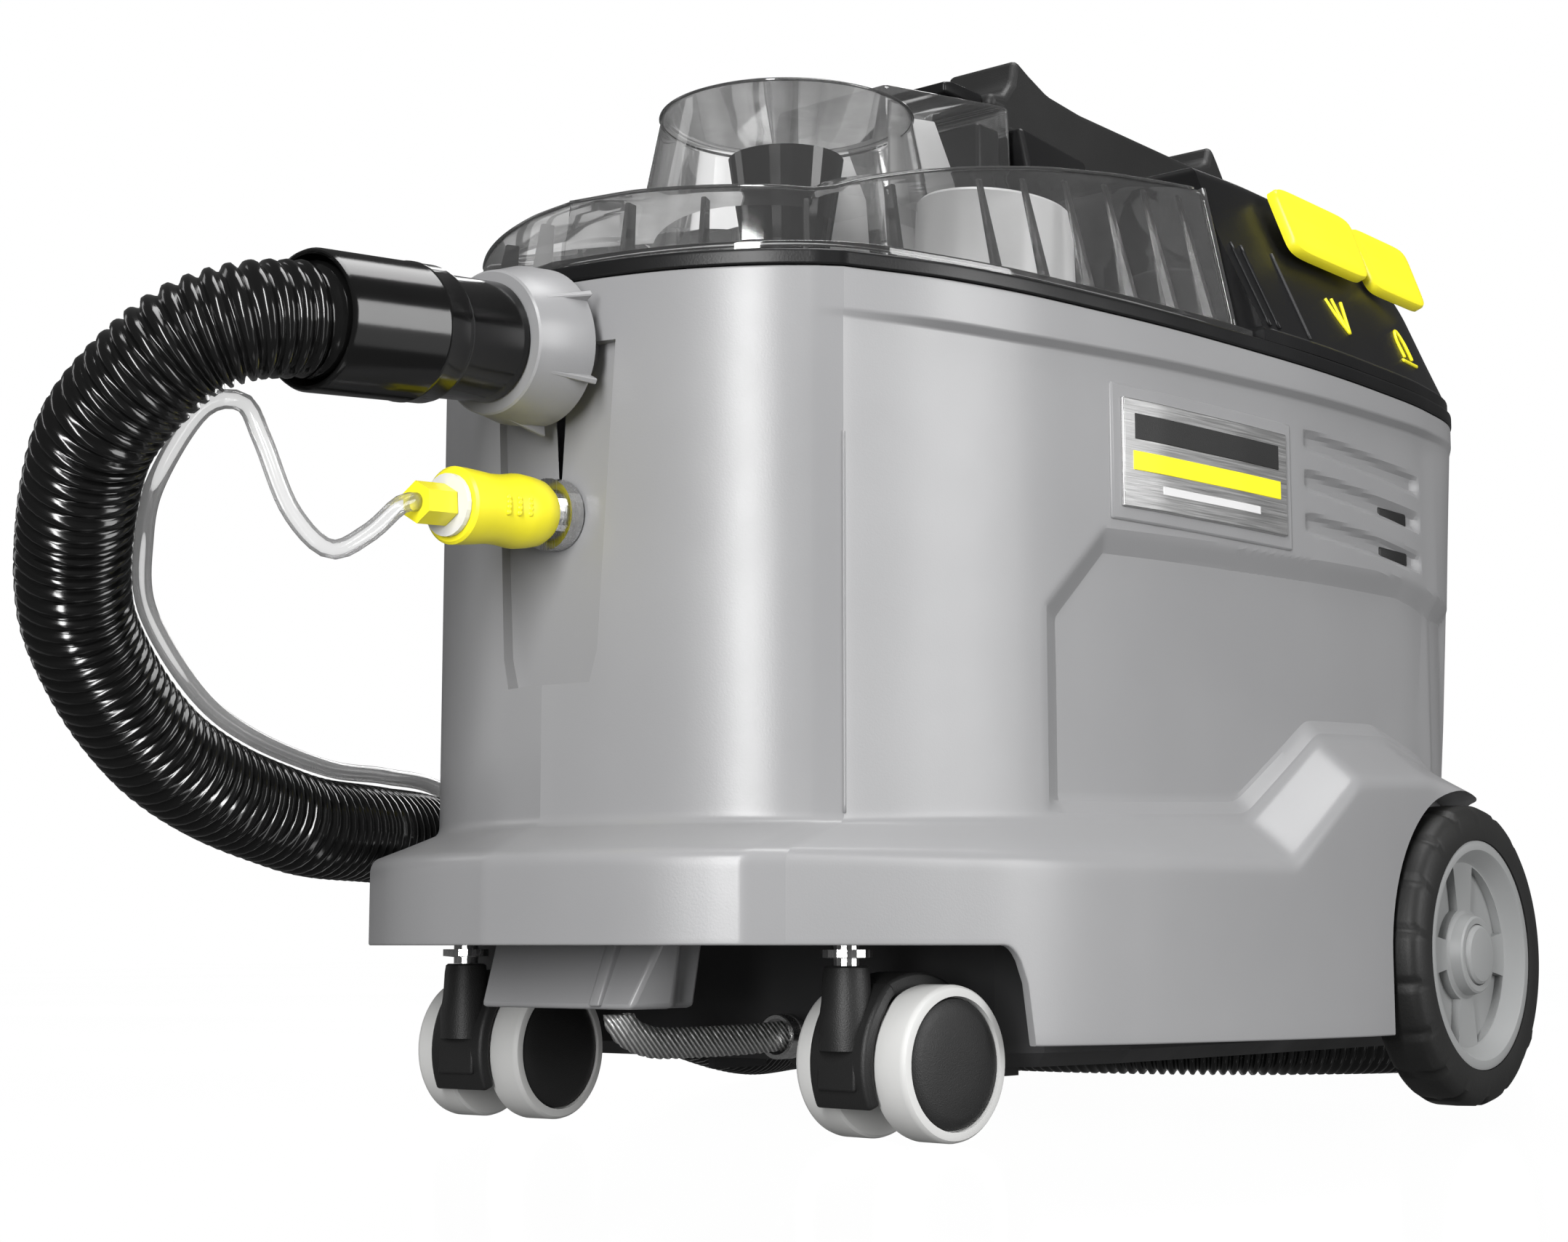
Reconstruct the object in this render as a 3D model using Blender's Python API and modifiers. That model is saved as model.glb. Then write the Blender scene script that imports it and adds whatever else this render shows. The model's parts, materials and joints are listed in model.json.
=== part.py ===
"""Spot extractor: a spray-extraction cleaner with clear lid, corrugated hose, casters and rear wheels."""

import bpy
import bmesh
import math
from mathutils import Matrix, Vector

MM = 0.001
Y_SHIFT = -147.45  # brings the middle of the machine's length over the origin

GAP = 0.3
RIM_Z = 289.0
LID_Z = 295.3
SLAB_LOW, SLAB_HIGH = 108.0, 116.0
WALL = 7.0
SKIRT = 3.5
AXLE_Y, AXLE_Z = 287.8, 60.2
REAR_R, RIM_R = 60.2, 44.3
TYRE_IN, TYRE_OUT = 145.0, 169.0
CASTER_X, CASTER_Y = 89.4, -26.0
CASTER_R, CASTER_TRAIL = 25.6, 26.0
CASTER_YAW = {"right": -5.6, "left": 4.6}
DOME_Y, DOME_TOP = 52.4, 382.7
PORT = (0.0, -80.0, 266.5)
PORT_TILT = 5.3
SOCKET = (0.0, -74.0, 209.7)
SOCKET_TILT = 3.6
HOSE_R, TUBE_R = 18.5, 3.15
COIL_X, COIL_Y, COIL_R = -130.0, 560.0, 185.0

# Half plan outlines of the tub, front centre to rear centre
RIM_HALF = [
    (0, -78), (28, -73), (54, -64), (78, -50), (89, -41), (95.5, -34), (112, 2), (121, 32), (128, 67),
    (134.5, 106), (140, 155), (144, 205), (145, 260), (143, 308), (136, 345), (117, 375), (84, 393),
    (42, 400), (0, 402),
]
SKIRT_HALF = [
    (0, -104), (32, -100), (60, -91), (77, -82), (86.8, -76), (96.5, -66), (121, -10), (131, 14), (144, 67),
    (151, 106), (157.5, 155), (161, 200), (162, 260), (162, 308), (140, 330), (118, 362), (84, 380),
    (42, 386), (0, 388),
]
SKIRT_LOW_Z = [63.9] * 7 + [31.0, 30.5, 30.3, 30.0, 29.8, 29.8, 45, 48, 48, 48, 48, 48]
SKIRT_TOP_Z = [93.4] * 11 + [128, 130, 122, 93.4, 93.4, 93.4, 93.4, 93.4]
CREASE_Z = [104.0] * 6 + [105, 106, 107, 108, 108, 146, 146, 134, 112, 108, 108, 108, 108]
BAND_Z = [272.0] * 8 + [273, 274, 275, 276, 277, 278, 278, 278, 278, 278, 278]
SIDE = [0.0] * 5 + [1.0] + [3.5] * 8 + [1.0] + [0.0] * 4
REAR_IN = [0.0] * 14 + [8.0, 13.0, 14.0, 14.0, 14.0]

for old in list(bpy.data.objects):
    bpy.data.objects.remove(old, do_unlink=True)
scene = bpy.context.scene
scene.unit_settings.system = "METRIC"
PARTS = bpy.data.collections.new("spot_extractor")
CUTTERS = bpy.data.collections.new("cutters")
scene.collection.children.link(PARTS)
scene.collection.children.link(CUTTERS)
CUTTERS.hide_render = True


def material(name, rgb, rough, metal=0.0, alpha=1.0):
    mat = bpy.data.materials.new(name)
    mat.use_nodes = True
    shader = mat.node_tree.nodes["Principled BSDF"]
    shader.inputs["Base Color"].default_value = (*rgb, 1.0)
    shader.inputs["Roughness"].default_value = rough
    shader.inputs["Metallic"].default_value = metal
    shader.inputs["Alpha"].default_value = alpha
    mat.diffuse_color = (*rgb, alpha)
    return mat


def keep(obj, mat=None, smooth=False):
    for coll in list(obj.users_collection):
        coll.objects.unlink(obj)
    PARTS.objects.link(obj)
    if mat:
        obj.data.materials.clear()
        obj.data.materials.append(mat)
    if smooth and obj.type == "MESH":
        for face in obj.data.polygons:
            face.use_smooth = True
    return obj


def put(obj, x, y, z):
    obj.location = (x * MM, (y + Y_SHIFT) * MM, z * MM)
    return obj


def mesh_object(name, points, faces):
    mesh = bpy.data.meshes.new(name)
    mesh.from_pydata([tuple(c * MM for c in p) for p in points], [], faces)
    mesh.update()
    bm = bmesh.new()
    bm.from_mesh(mesh)
    bmesh.ops.recalc_face_normals(bm, faces=bm.faces)
    bm.to_mesh(mesh)
    bm.free()
    obj = bpy.data.objects.new(name, mesh)
    PARTS.objects.link(obj)
    return obj


def full(half):
    """Both halves of a plan outline, from its right half."""
    return list(half) + [(-x, y) for x, y in reversed(half[1:-1])]


def mirrored(values):
    """Per-point values for both halves."""
    return list(values) + list(reversed(values[1:-1]))


def inset(ring, amount):
    """The outline moved inwards, by one amount or one per point."""
    count = len(ring)
    amounts = [amount] * count if isinstance(amount, (int, float)) else amount
    out = []
    for i, (x, y) in enumerate(ring):
        ax, ay = ring[i - 1]
        bx, by = ring[(i + 1) % count]
        n1 = Vector((ay - y, x - ax)).normalized()
        n2 = Vector((y - by, bx - x)).normalized()
        n = (n1 + n2).normalized()
        step = amounts[i] / max(n.dot(n1), 0.5)
        out.append((x + n.x * step, y + n.y * step))
    return out


def raised(ring, z):
    heights = [z] * len(ring) if isinstance(z, (int, float)) else z
    return [(x, y, h) for (x, y), h in zip(ring, heights)]


def loft(name, rings, offset=(0, 0, 0)):
    """A closed body through rings of equal length, capped at both ends."""
    count = len(rings[0])
    points = [p for ring in rings for p in ring]
    faces = [list(range(count))[::-1], list(range((len(rings) - 1) * count, len(rings) * count))]
    for level in range(len(rings) - 1):
        low = level * count
        for i in range(count):
            j = (i + 1) % count
            faces.append([low + i, low + j, low + count + j, low + count + i])
    obj = mesh_object(name, points, faces)
    return put(obj, *offset)


def turned(name, profile, steps, loop=False, at=(0, 0, 0), rot=(0, 0, 0)):
    """A turned body from (radius, height) points running down its outer side."""
    mesh = bpy.data.meshes.new(name)
    edges = [(i, i + 1) for i in range(len(profile) - 1)]
    if loop:
        edges.append((len(profile) - 1, 0))
    mesh.from_pydata([(r * MM, 0, z * MM) for r, z in profile], edges, [])
    obj = bpy.data.objects.new(name, mesh)
    PARTS.objects.link(obj)
    screw = obj.modifiers.new("turn", "SCREW")
    screw.axis = "Z"
    screw.steps = steps
    screw.render_steps = steps
    screw.use_merge_vertices = True
    screw.merge_threshold = 0.0001 * 0.5
    screw.use_smooth_shade = True
    obj.rotation_euler = rot
    return put(obj, *at)


def flat(name, outline, half, at=(0, 0, 0), rot=(0, 0, 0), holes=()):
    """A flat outline in the local XY plane, extruded both ways."""
    curve = bpy.data.curves.new(name, "CURVE")
    curve.dimensions = "2D"
    curve.fill_mode = "BOTH"
    curve.extrude = half * MM
    for loop in (outline, *holes):
        line = curve.splines.new("POLY")
        line.points.add(len(loop) - 1)
        for point, (x, y) in zip(line.points, loop):
            point.co = (x * MM, y * MM, 0, 1)
        line.use_cyclic_u = True
    obj = bpy.data.objects.new(name, curve)
    PARTS.objects.link(obj)
    obj.rotation_euler = rot
    return put(obj, *at)


def as_mesh(obj):
    """The same body as a mesh object, ready to be cut."""
    bpy.context.view_layer.update()
    graph = bpy.context.evaluated_depsgraph_get()
    mesh = bpy.data.meshes.new_from_object(obj.evaluated_get(graph))
    bm = bmesh.new()
    bm.from_mesh(mesh)
    bmesh.ops.remove_doubles(bm, verts=bm.verts, dist=1e-6)
    bmesh.ops.recalc_face_normals(bm, faces=bm.faces)
    bm.to_mesh(mesh)
    bm.free()
    name = obj.name
    made = bpy.data.objects.new(name + "_mesh", mesh)
    made.matrix_world = obj.matrix_world.copy()
    bpy.data.objects.remove(obj, do_unlink=True)
    made.name = name
    PARTS.objects.link(made)
    return made


def tube(name, points, radius, res=2, at=(0, 0, 0)):
    curve = bpy.data.curves.new(name, "CURVE")
    curve.dimensions = "3D"
    curve.bevel_depth = radius * MM
    curve.bevel_resolution = res
    curve.use_fill_caps = True
    line = curve.splines.new("POLY")
    line.points.add(len(points) - 1)
    for point, co in zip(line.points, points):
        point.co = (co[0] * MM, co[1] * MM, co[2] * MM, 1)
    obj = bpy.data.objects.new(name, curve)
    PARTS.objects.link(obj)
    return put(obj, *at)


def smooth_path(route, count):
    """Evenly spaced points on a Catmull-Rom curve through the route."""
    pts = [Vector(p) for p in route]
    pts = [pts[0] * 2 - pts[1]] + pts + [pts[-1] * 2 - pts[-2]]
    fine = []
    for i in range(1, len(pts) - 2):
        a, b, c, d = pts[i - 1], pts[i], pts[i + 1], pts[i + 2]
        for k in range(24):
            t = k / 24
            fine.append(
                0.5 * (2 * b + (c - a) * t + (2 * a - 5 * b + 4 * c - d) * t * t
                       + (3 * b - a - 3 * c + d) * t * t * t)
            )
    fine.append(pts[-2])
    run = [0.0]
    for p, q in zip(fine, fine[1:]):
        run.append(run[-1] + (q - p).length)
    out, k = [], 0
    for i in range(count):
        want = run[-1] * i / (count - 1)
        while k < len(run) - 2 and run[k + 1] < want:
            k += 1
        t = (want - run[k]) / max(run[k + 1] - run[k], 1e-9)
        out.append(fine[k].lerp(fine[k + 1], min(max(t, 0), 1)))
    return out


def box(name, low, high):
    bpy.ops.mesh.primitive_cube_add(size=1)
    obj = bpy.context.object
    obj.name = name
    for vert in obj.data.vertices:
        for k in range(3):
            vert.co[k] *= (high[k] - low[k]) * MM
    keep(obj)
    return put(obj, *[(low[k] + high[k]) / 2 for k in range(3)])


def rod(name, radius, length, at, rot=(0, 0, 0), sides=32):
    bpy.ops.mesh.primitive_cylinder_add(vertices=sides, radius=radius * MM, depth=length * MM)
    obj = bpy.context.object
    obj.name = name
    obj.rotation_euler = rot
    keep(obj)
    return put(obj, *at)


def boolean(target, other, operation="DIFFERENCE"):
    for coll in list(other.users_collection):
        coll.objects.unlink(other)
    CUTTERS.objects.link(other)
    other.hide_render = True
    other.display_type = "WIRE"
    mod = target.modifiers.new(other.name, "BOOLEAN")
    mod.object = other
    mod.operation = operation
    mod.solver = "EXACT"
    return target


def bevel(obj, width, segments=1, angle=40):
    mod = obj.modifiers.new("bevel", "BEVEL")
    mod.width = width * MM
    mod.segments = segments
    mod.limit_method = "ANGLE"
    mod.angle_limit = math.radians(angle)
    return obj


def along(start, tilt, t):
    """A point on an axis that leaves the front face, dropping by tilt."""
    a = math.radians(tilt)
    return (start[0], start[1] - math.cos(a) * t, start[2] - math.sin(a) * t)


def forward(tilt):
    """Rotation that turns local +Z to the front, dropping by tilt."""
    return (math.radians(90 + tilt), 0, 0)


ALONG_X = (0, math.radians(90), 0)

grey = material("housing_grey", (0.42, 0.43, 0.44), 0.42)
black = material("black_plastic", (0.012, 0.012, 0.013), 0.35)
clear = material("clear_lid", (0.85, 0.87, 0.88), 0.05, 0.0, 0.3)
yellow = material("yellow_plastic", (0.92, 0.82, 0.03), 0.4)

# Tub
outline = full(RIM_HALF)
skirt = full(SKIRT_HALF)
side = mirrored(SIDE)
rear = mirrored(REAR_IN)
low_z = mirrored(SKIRT_LOW_Z)
crease_z = mirrored(CREASE_Z)
lower = inset(outline, [max(a, b) for a, b in zip(side, rear)])
wall_in = [WALL + (5 if i < 2 else 0) for i in range(len(RIM_HALF))]
inner = inset(outline, mirrored(wall_in))
inner_low = inset(outline, mirrored([w + r for w, r in zip(wall_in, REAR_IN)]))
skirt_in = inset(skirt, SKIRT)
rings = [
    raised(inset(lower, 8.5), SLAB_LOW),
    raised(inset(skirt, 6.0), [min(z - 4, 104) for z in mirrored(SKIRT_TOP_Z)]),
    raised(skirt_in, low_z),
    raised(skirt, low_z),
    raised(skirt, mirrored(SKIRT_TOP_Z)),
    raised(lower, crease_z),
    raised(inset(outline, side), mirrored(BAND_Z)),
    raised(outline, [z + 2.5 for z in mirrored(BAND_Z)]),
    raised(outline, RIM_Z),
    raised(inner, RIM_Z),
    raised(inner_low, 150),
    raised(inset(inner_low, 1.0), SLAB_HIGH),
]
housing = keep(loft("housing_shell", rings), grey)
for sign, label in ((1, "r"), (-1, "l")):
    x_mid = sign * (141.6 + 40)
    well = rod("well_" + label, REAR_R + 6, 80, (x_mid, AXLE_Y, AXLE_Z), ALONG_X, 48)
    boolean(housing, well)
    boolean(housing, box("well_low_" + label, (min(sign * 141.6, sign * 190), 228, 10),
                         (max(sign * 141.6, sign * 190), 420, 60)))
    for k, (z0, z1) in enumerate(((236.5, 243), (219.5, 226))):
        ends = sorted((sign * 110, sign * 160))
        boolean(housing, box(f"vent_{label}{k}", (ends[0], 268, z0), (ends[1], 290, z1)))
recess = loft("recess_cut", [
    [(-19, -70, 151), (19, -70, 151), (20, -120, 151), (-20, -120, 151)],
    [(-22, -70, 162), (22, -70, 162), (23, -120, 162), (-23, -120, 162)],
    [(-28, -70, 267), (28, -70, 267), (29, -120, 267), (-29, -120, 267)],
])
boolean(housing, recess)
boolean(housing, rod("port_hole", 18.3, 60, along(PORT, PORT_TILT, -6), forward(PORT_TILT), 32))
boolean(housing, rod("socket_hole", 9.3, 60, along(SOCKET, SOCKET_TILT, -6), forward(SOCKET_TILT), 24))
for sign in (1, -1):
    boolean(housing, rod("swing_%d" % (sign + 1), 56.6, 31, (sign * 89.4, -26, 36), (0, 0, 0), 48))

band_out = inset(outline, -0.6)
band_in = inset(outline, 5.2)
band_rings = [raised(band_out, RIM_Z + GAP), raised(band_out, LID_Z - GAP)]
band = keep(loft("seal_band", band_rings), black)
boolean(band, loft("band_open", [raised(band_in, RIM_Z - 5), raised(band_in, LID_Z + 5)]))

# Underside
tray = [(-98, 46), (98, 46), (109, 60), (116, 105), (116, 330), (100, 344), (-100, 344), (-116, 330),
        (-116, 105), (-109, 60)]
pan = loft("underbody_pan", [
    raised(tray, SLAB_LOW - GAP), raised(tray, 27), raised(inset(tray, 5), 22),
    ][::-1])
keep(pan, material("pan_black", (0.02, 0.02, 0.022), 0.5))
boolean(pan, loft("pan_hollow", [raised(inset(tray, 3), 25.5), raised(inset(tray, 3), 130)]))
boolean(pan, rod("pan_axle_hole", 5.3, 300, (0, AXLE_Y, AXLE_Z), ALONG_X, 16))
boolean(pan, rod("pan_hose_hole", 6.0, 20, (20, 47, 32), (math.radians(90), 0, 0), 16))
for k, (x, y) in enumerate(((-60, 95), (62, 95), (20, 210))):
    boolean(pan, box(f"fin_{k}", (x - 1.5, y - 16, 16), (x + 1.5, y + 16, 24)), "UNION")
sump_top = [(-40, -58), (40, -58), (40, -50), (32, -44), (32, -30), (-32, -30), (-32, -44), (-40, -50)]
sump_low = [(-35, -71), (35, -71), (35, -50), (29, -42), (29, -32), (-29, -32), (-29, -42), (-35, -50)]
sump = keep(loft("front_sump", [raised(sump_low, 43), raised(sump_top, 70),
                                raised(sump_top, SLAB_LOW - GAP)]), grey)
pump = keep(box("pump", (-70, 110, 25.8), (-25, 205, 70)),
            material("pump_black", (0.03, 0.03, 0.035), 0.5))
bevel(pump, 3, 2)
route = [(20, -60, 40.4), (20, -59.8, 39.0), (20, -57.5, 36.2), (20, -53, 34), (20, -46, 32), (20, -36, 31),
         (20, 0, 31), (20, 30, 31.8), (20, 62, 32)]
keep(tube("braided_hose", smooth_path(route, 30), 5.2),
     material("braid", (0.6, 0.6, 0.58), 0.5))
clamp = turned("hose_clamp", [(8.0, 4), (8.0, -4), (6.4, -4), (6.4, 4)], 20, True,
               (20, 26, 31.6), (math.radians(90), 0, 0))
keep(clamp, material("clamp_steel", (0.6, 0.6, 0.6), 0.3, 1.0))
gland = turned("cable_gland", [(0, 0), (9, 0), (9, -3), (6, -4.5), (5, -11), (0, -11)], 20, False,
               (-60, 390.8, 180), (math.radians(90), 0, 0))
keep(gland, material("gland_black", (0.02, 0.02, 0.02), 0.5))

# Dirty-water tank, its inlet and the air system
tank_half = [(0, -58), (28, -56), (52, -50), (70, -40), (80, -33), (86, -27), (102, 7), (111, 36), (118, 70),
             (124, 108), (128, 148), (112, 164), (56, 164), (0, 164)]
tank_plan = full(tank_half)
tank = keep(loft("dirty_tank", [
    raised(inset(tank_plan, 12), SLAB_HIGH + GAP), raised(inset(tank_plan, 4), 126),
    raised(tank_plan, 282), raised(inset(tank_plan, -2.5), 284), raised(inset(tank_plan, -2.5), RIM_Z - 1),
    raised(inset(tank_plan, 2.5), RIM_Z - 1), raised(inset(tank_plan, 6.5), 128),
    raised(inset(tank_plan, 14.5), SLAB_HIGH + 3 + GAP)]),
    material("tank_grey", (0.55, 0.56, 0.57), 0.45))
boolean(tank, rod("tank_port_hole", 17.4, 40, along(PORT, PORT_TILT, -30), forward(PORT_TILT), 32))
riser_route = [(0, -62.4, 268.1), (0, -48, 269.4), (0, -20, 264), (0, 10, 254), (0, 34, 253), (0, 48, 264),
               (0, 52, 278), (0, 52, 290)]
keep(tube("inlet_riser", smooth_path(riser_route, 22), 15.5),
     material("riser_grey", (0.3, 0.3, 0.31), 0.4))
carrier_plan = full([(0, 171), (80, 171), (126, 174), (134, 205), (135, 260), (133, 304), (126, 338),
                     (108, 354), (76, 368), (40, 373), (0, 375)])
carrier_edge = inset(carrier_plan, 6)
carrier = keep(loft("motor_carrier", [raised(carrier_edge, 179), raised(carrier_edge, 185)]),
               material("carrier_black", (0.03, 0.03, 0.03), 0.5))
for k, (x, y) in enumerate(((-95, 190), (95, 190), (-88, 335), (88, 335))):
    leg = box(f"leg_{k}", (x - 8, y - 8, SLAB_HIGH + GAP), (x + 8, y + 8, 181))
    boolean(carrier, leg, "UNION")
boolean(carrier, rod("carrier_hole", 45, 40, (0, 275, 182), (0, 0, 0), 32))
turbine = turned("suction_turbine", [
    (0, 283), (30, 283), (36, 276), (36, 246), (58, 246), (60, 243), (60, 200), (58, 185.4), (0, 185.4)],
    36, False, (0, 275, 0))
keep(turbine, material("turbine_steel", (0.5, 0.5, 0.52), 0.35, 0.9))

# Clear lid
lid_half = [(0, -76), (28, -71), (53.4, -62.2), (76.8, -48.5), (87.6, -39.7), (93.8, -33), (110.1, 2.8),
            (119, 32.6), (126, 67.4), (132.4, 106.4), (137.9, 152), (138.4, 167.6), (70, 168), (0, 168)]
LID_TOP_Z = [322.0, 322, 321, 320, 319, 320, 331, 338, 345, 351, 356, 357.5, 358, 358]
LEAN = [4.0, 4, 4, 4, 4, 4, 6, 8, 10, 12, 13, 0, 0, 0]
lid_plan = full(lid_half)
LID_BACK = 166.0


def lid_ring(amounts, low, thin, back):
    """The lid's plan drawn in by amounts on the front and sides, and cut square at the back."""
    got = []
    for (x, y), (ox, oy) in zip(inset(lid_plan, amounts), lid_plan):
        if oy > 167:
            x = ox - math.copysign(min(abs(ox), 7.5 + thin), ox) if abs(ox) > 100 else ox
            y = back
        got.append((x, min(y, back)))
    return raised(got, low)


def lid_tiers(thin, low):
    """The lid's wall, tier edge and crown."""
    back = LID_BACK - thin
    edge = []
    crown = []
    wall = lid_ring(7.5 + thin, low, thin, back)
    for (x, y, _), lean, top in zip(wall, mirrored(LEAN), mirrored(LID_TOP_Z)):
        ex = x - math.copysign(min(lean, abs(x)), x) if abs(x) > 60 else x
        ey = y + 3.0 if y < -20 else y
        edge.append((ex, ey, top - thin))
        crown.append((ex * 0.62, ey * 0.7 + 20 if y < back - 8 else ey, top - thin + (11 if y < 60 else 7)))
    return [wall, edge, crown]


def fan_loft(name, rings):
    """A closed body through rings, flat below and fanned to a middle point above."""
    count = len(rings[0])
    points = [p for ring in rings for p in ring]
    top = rings[-1]
    points.append((0, 70, sum(p[2] for p in top) / count))
    faces = [list(range(count))[::-1]]
    for level in range(len(rings) - 1):
        for i in range(count):
            j = (i + 1) % count
            a, b = level * count + i, level * count + j
            faces.append([a, b, b + count])
            faces.append([a, b + count, a + count])
    last = (len(rings) - 1) * count
    for i in range(count):
        faces.append([last + i, last + (i + 1) % count, len(points) - 1])
    return put(mesh_object(name, points, faces), 0, 0, 0)


lid_low = [raised(lid_plan, LID_Z), raised(lid_plan, LID_Z + 2.8)]
lid = keep(fan_loft("lid_cover", lid_low + lid_tiers(0.0, LID_Z + 3.0)), clear)
boolean(lid, turned("lid_dome", [(0, DOME_TOP), (47, DOME_TOP), (48.2, DOME_TOP - 1.4), (57.2, 334),
                                 (57.2, 322), (0, 322)], 40, False, (0, DOME_Y, 0)), "UNION")
ridge = [[(-31, 66, 330), (31, 66, 330), (31, 165.5, 330), (-31, 165.5, 330)],
         [(-28, 80, 398), (28, 80, 398), (28, 165.5, 411), (-28, 165.5, 411)]]
ridge_in = [[(-28.5, 68.5, 300), (28.5, 68.5, 300), (28.5, 162.8, 300), (-28.5, 162.8, 300)],
            [(-25.5, 84, 395.5), (25.5, 84, 395.5), (25.5, 162.8, 408.3), (-25.5, 162.8, 408.3)]]
boolean(lid, loft("lid_ridge", ridge), "UNION")
boolean(lid, fan_loft("lid_hollow", lid_tiers(2.5, LID_Z - 4)))
boolean(lid, turned("lid_dome_in", [(0, DOME_TOP - 2.5), (45.7, DOME_TOP - 2.5), (54.7, 334), (54.7, 300),
                                    (0, 300)], 40, False, (0, DOME_Y, 0)))
boolean(lid, loft("lid_ridge_in", ridge_in))

plate_plan = full([(0, -62), (26, -57.5), (50, -50), (70, -38), (80, -28), (98, 8), (107, 38), (114, 72),
                   (121, 110), (125, 150), (125, 162.8), (60, 162.8), (0, 162.8)])
plate = keep(loft("separator_plate", [raised(plate_plan, 296), raised(plate_plan, 298.4)]),
             material("plate_white", (0.75, 0.76, 0.77), 0.3))
boolean(plate, rod("plate_hole", 17, 30, (0, 52, 297), (0, 0, 0), 32))
boolean(plate, rod("plate_float_hole", 9, 30, (55, 128, 297), (0, 0, 0), 20))
boolean(plate, rod("plate_air_hole", 16, 30, (-45, 130, 297), (0, 0, 0), 20))
standpipe = turned("standpipe", [
    (22.4, 365), (20.5, 352), (17, 330), (16.6, 303), (24, 301.5), (24, 298.7), (15.2, 298.7), (15.2, 330),
    (18.8, 352), (20.4, 365)], 32, True, (0, 52, 0))
keep(standpipe, material("standpipe_black", (0.015, 0.015, 0.015), 0.3))
cage = turned("float_cage", [
    (19, 295.7), (19, 240), (12, 240), (12, 243), (17, 243), (17, 292.7), (8, 292.7), (8, 295.7)],
    24, True, (55, 128, 0))
keep(cage, material("cage_white", (0.8, 0.8, 0.8), 0.4))
bpy.ops.mesh.primitive_uv_sphere_add(segments=20, ring_count=12, radius=15 * MM)
ball = bpy.context.object
ball.name = "float_ball"
put(keep(ball, material("float_white", (0.85, 0.85, 0.83), 0.4), True), 55, 128, 252.6)

# Motor head, handle, switches
head_low = full([(0, 171.6), (90, 171.6), (141.2, 171.6), (144, 205), (145, 260), (143, 308), (136, 345),
                 (117, 375), (84, 393), (42, 400), (0, 402)])
head_mid = full([(0, 171.6), (80, 171.6), (121, 171.6), (125, 207), (126, 260), (124, 305), (117, 342),
                 (100, 368), (72, 386), (36, 393), (0, 395)])
head_top = full([(0, 171.6), (72, 171.6), (111.5, 171.6), (114.5, 207), (113.5, 260), (110, 300), (104, 333),
                 (90, 356), (66, 373), (34, 380), (0, 382)])
head = keep(loft("head_cover", [
    raised(inset(head_top, 3), 366.5), raised(inset(head_mid, 3), 338), raised(inset(head_low, 6), LID_Z),
    raised(inset(head_low, 1.0), LID_Z), raised(inset(head_low, 1.0), LID_Z + 4), raised(head_mid, 340),
    raised(head_top, 368), raised(inset(head_top, 5), 371.6)]),
    material("head_black", (0.015, 0.015, 0.016), 0.32))
hump = loft("head_hump", [
    [(-40, 171.6, 369.5), (40, 171.6, 369.5), (38, 227, 369.5), (-38, 227, 369.5)],
    [(-29, 171.6, 404), (29, 171.6, 404), (26, 226, 402), (-26, 226, 402)]])
boolean(head, hump, "UNION")
boolean(head, box("duct_window", (-22, 160, 330), (22, 190, 360)))

handle_side = [
    (166, 413), (172.5, 413), (172.5, 404.6), (227.6, 402.6), (228.2, 392), (242, 372.2), (255, 372.2),
    (250, 396), (258, 402), (322, 402), (330, 396), (332, 372.2), (380, 372.2), (386, 384), (383, 404), (366, 424),
    (356, 436), (350, 443), (346, 431), (330, 428), (236, 428), (210, 430), (196, 435), (185, 440),
    (181, 421), (166, 420)]
handle = flat("carry_handle", handle_side, 18, (0, 0, 0), (math.radians(90), 0, math.radians(90)))
keep(handle, material("handle_black", (0.014, 0.014, 0.015), 0.38))
latch = keep(box("latch_block", (-14, 138, 412.9), (14, 165.6, 419)),
             material("latch_black", (0.02, 0.02, 0.02), 0.4))
bevel(latch, 1.5, 1)


def pad(name, y0, y1, foot, top):
    """A switch pad with its pivot at the middle of its back."""
    (x0, z0), (x1, z1) = foot, top
    slope = Vector((x1 - x0, z1 - z0)).normalized()
    out = Vector((slope.y, -slope.x))
    mid = Vector(((x0 + x1) / 2, (z0 + z1) / 2))
    shape = []
    for depth in (0.0, 6.0):
        ring = []
        for x, z, y in ((x0, z0, y0 + 4), (x0, z0, y1 - 4), (x1, z1, y1), (x1, z1, y0)):
            shrink = 1.2 if depth else 0.0
            yy = y + (shrink if y < (y0 + y1) / 2 else -shrink)
            ring.append((x - mid.x + out.x * depth, yy - (y0 + y1) / 2, z - mid.y + out.y * depth))
        shape.append(ring)
    return put(loft(name, shape), mid.x, (y0 + y1) / 2, mid.y)


switch_mat = material("switch_yellow", (0.95, 0.85, 0.02), 0.35)
keep(pad("switch_spray", 212, 280, (128.6, 339), (118.0, 368.5)), switch_mat)
keep(pad("switch_suction", 286, 340, (125.6, 339), (114.2, 368.5)),
     material("switch_yellow_2", (0.95, 0.85, 0.02), 0.35))

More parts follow.
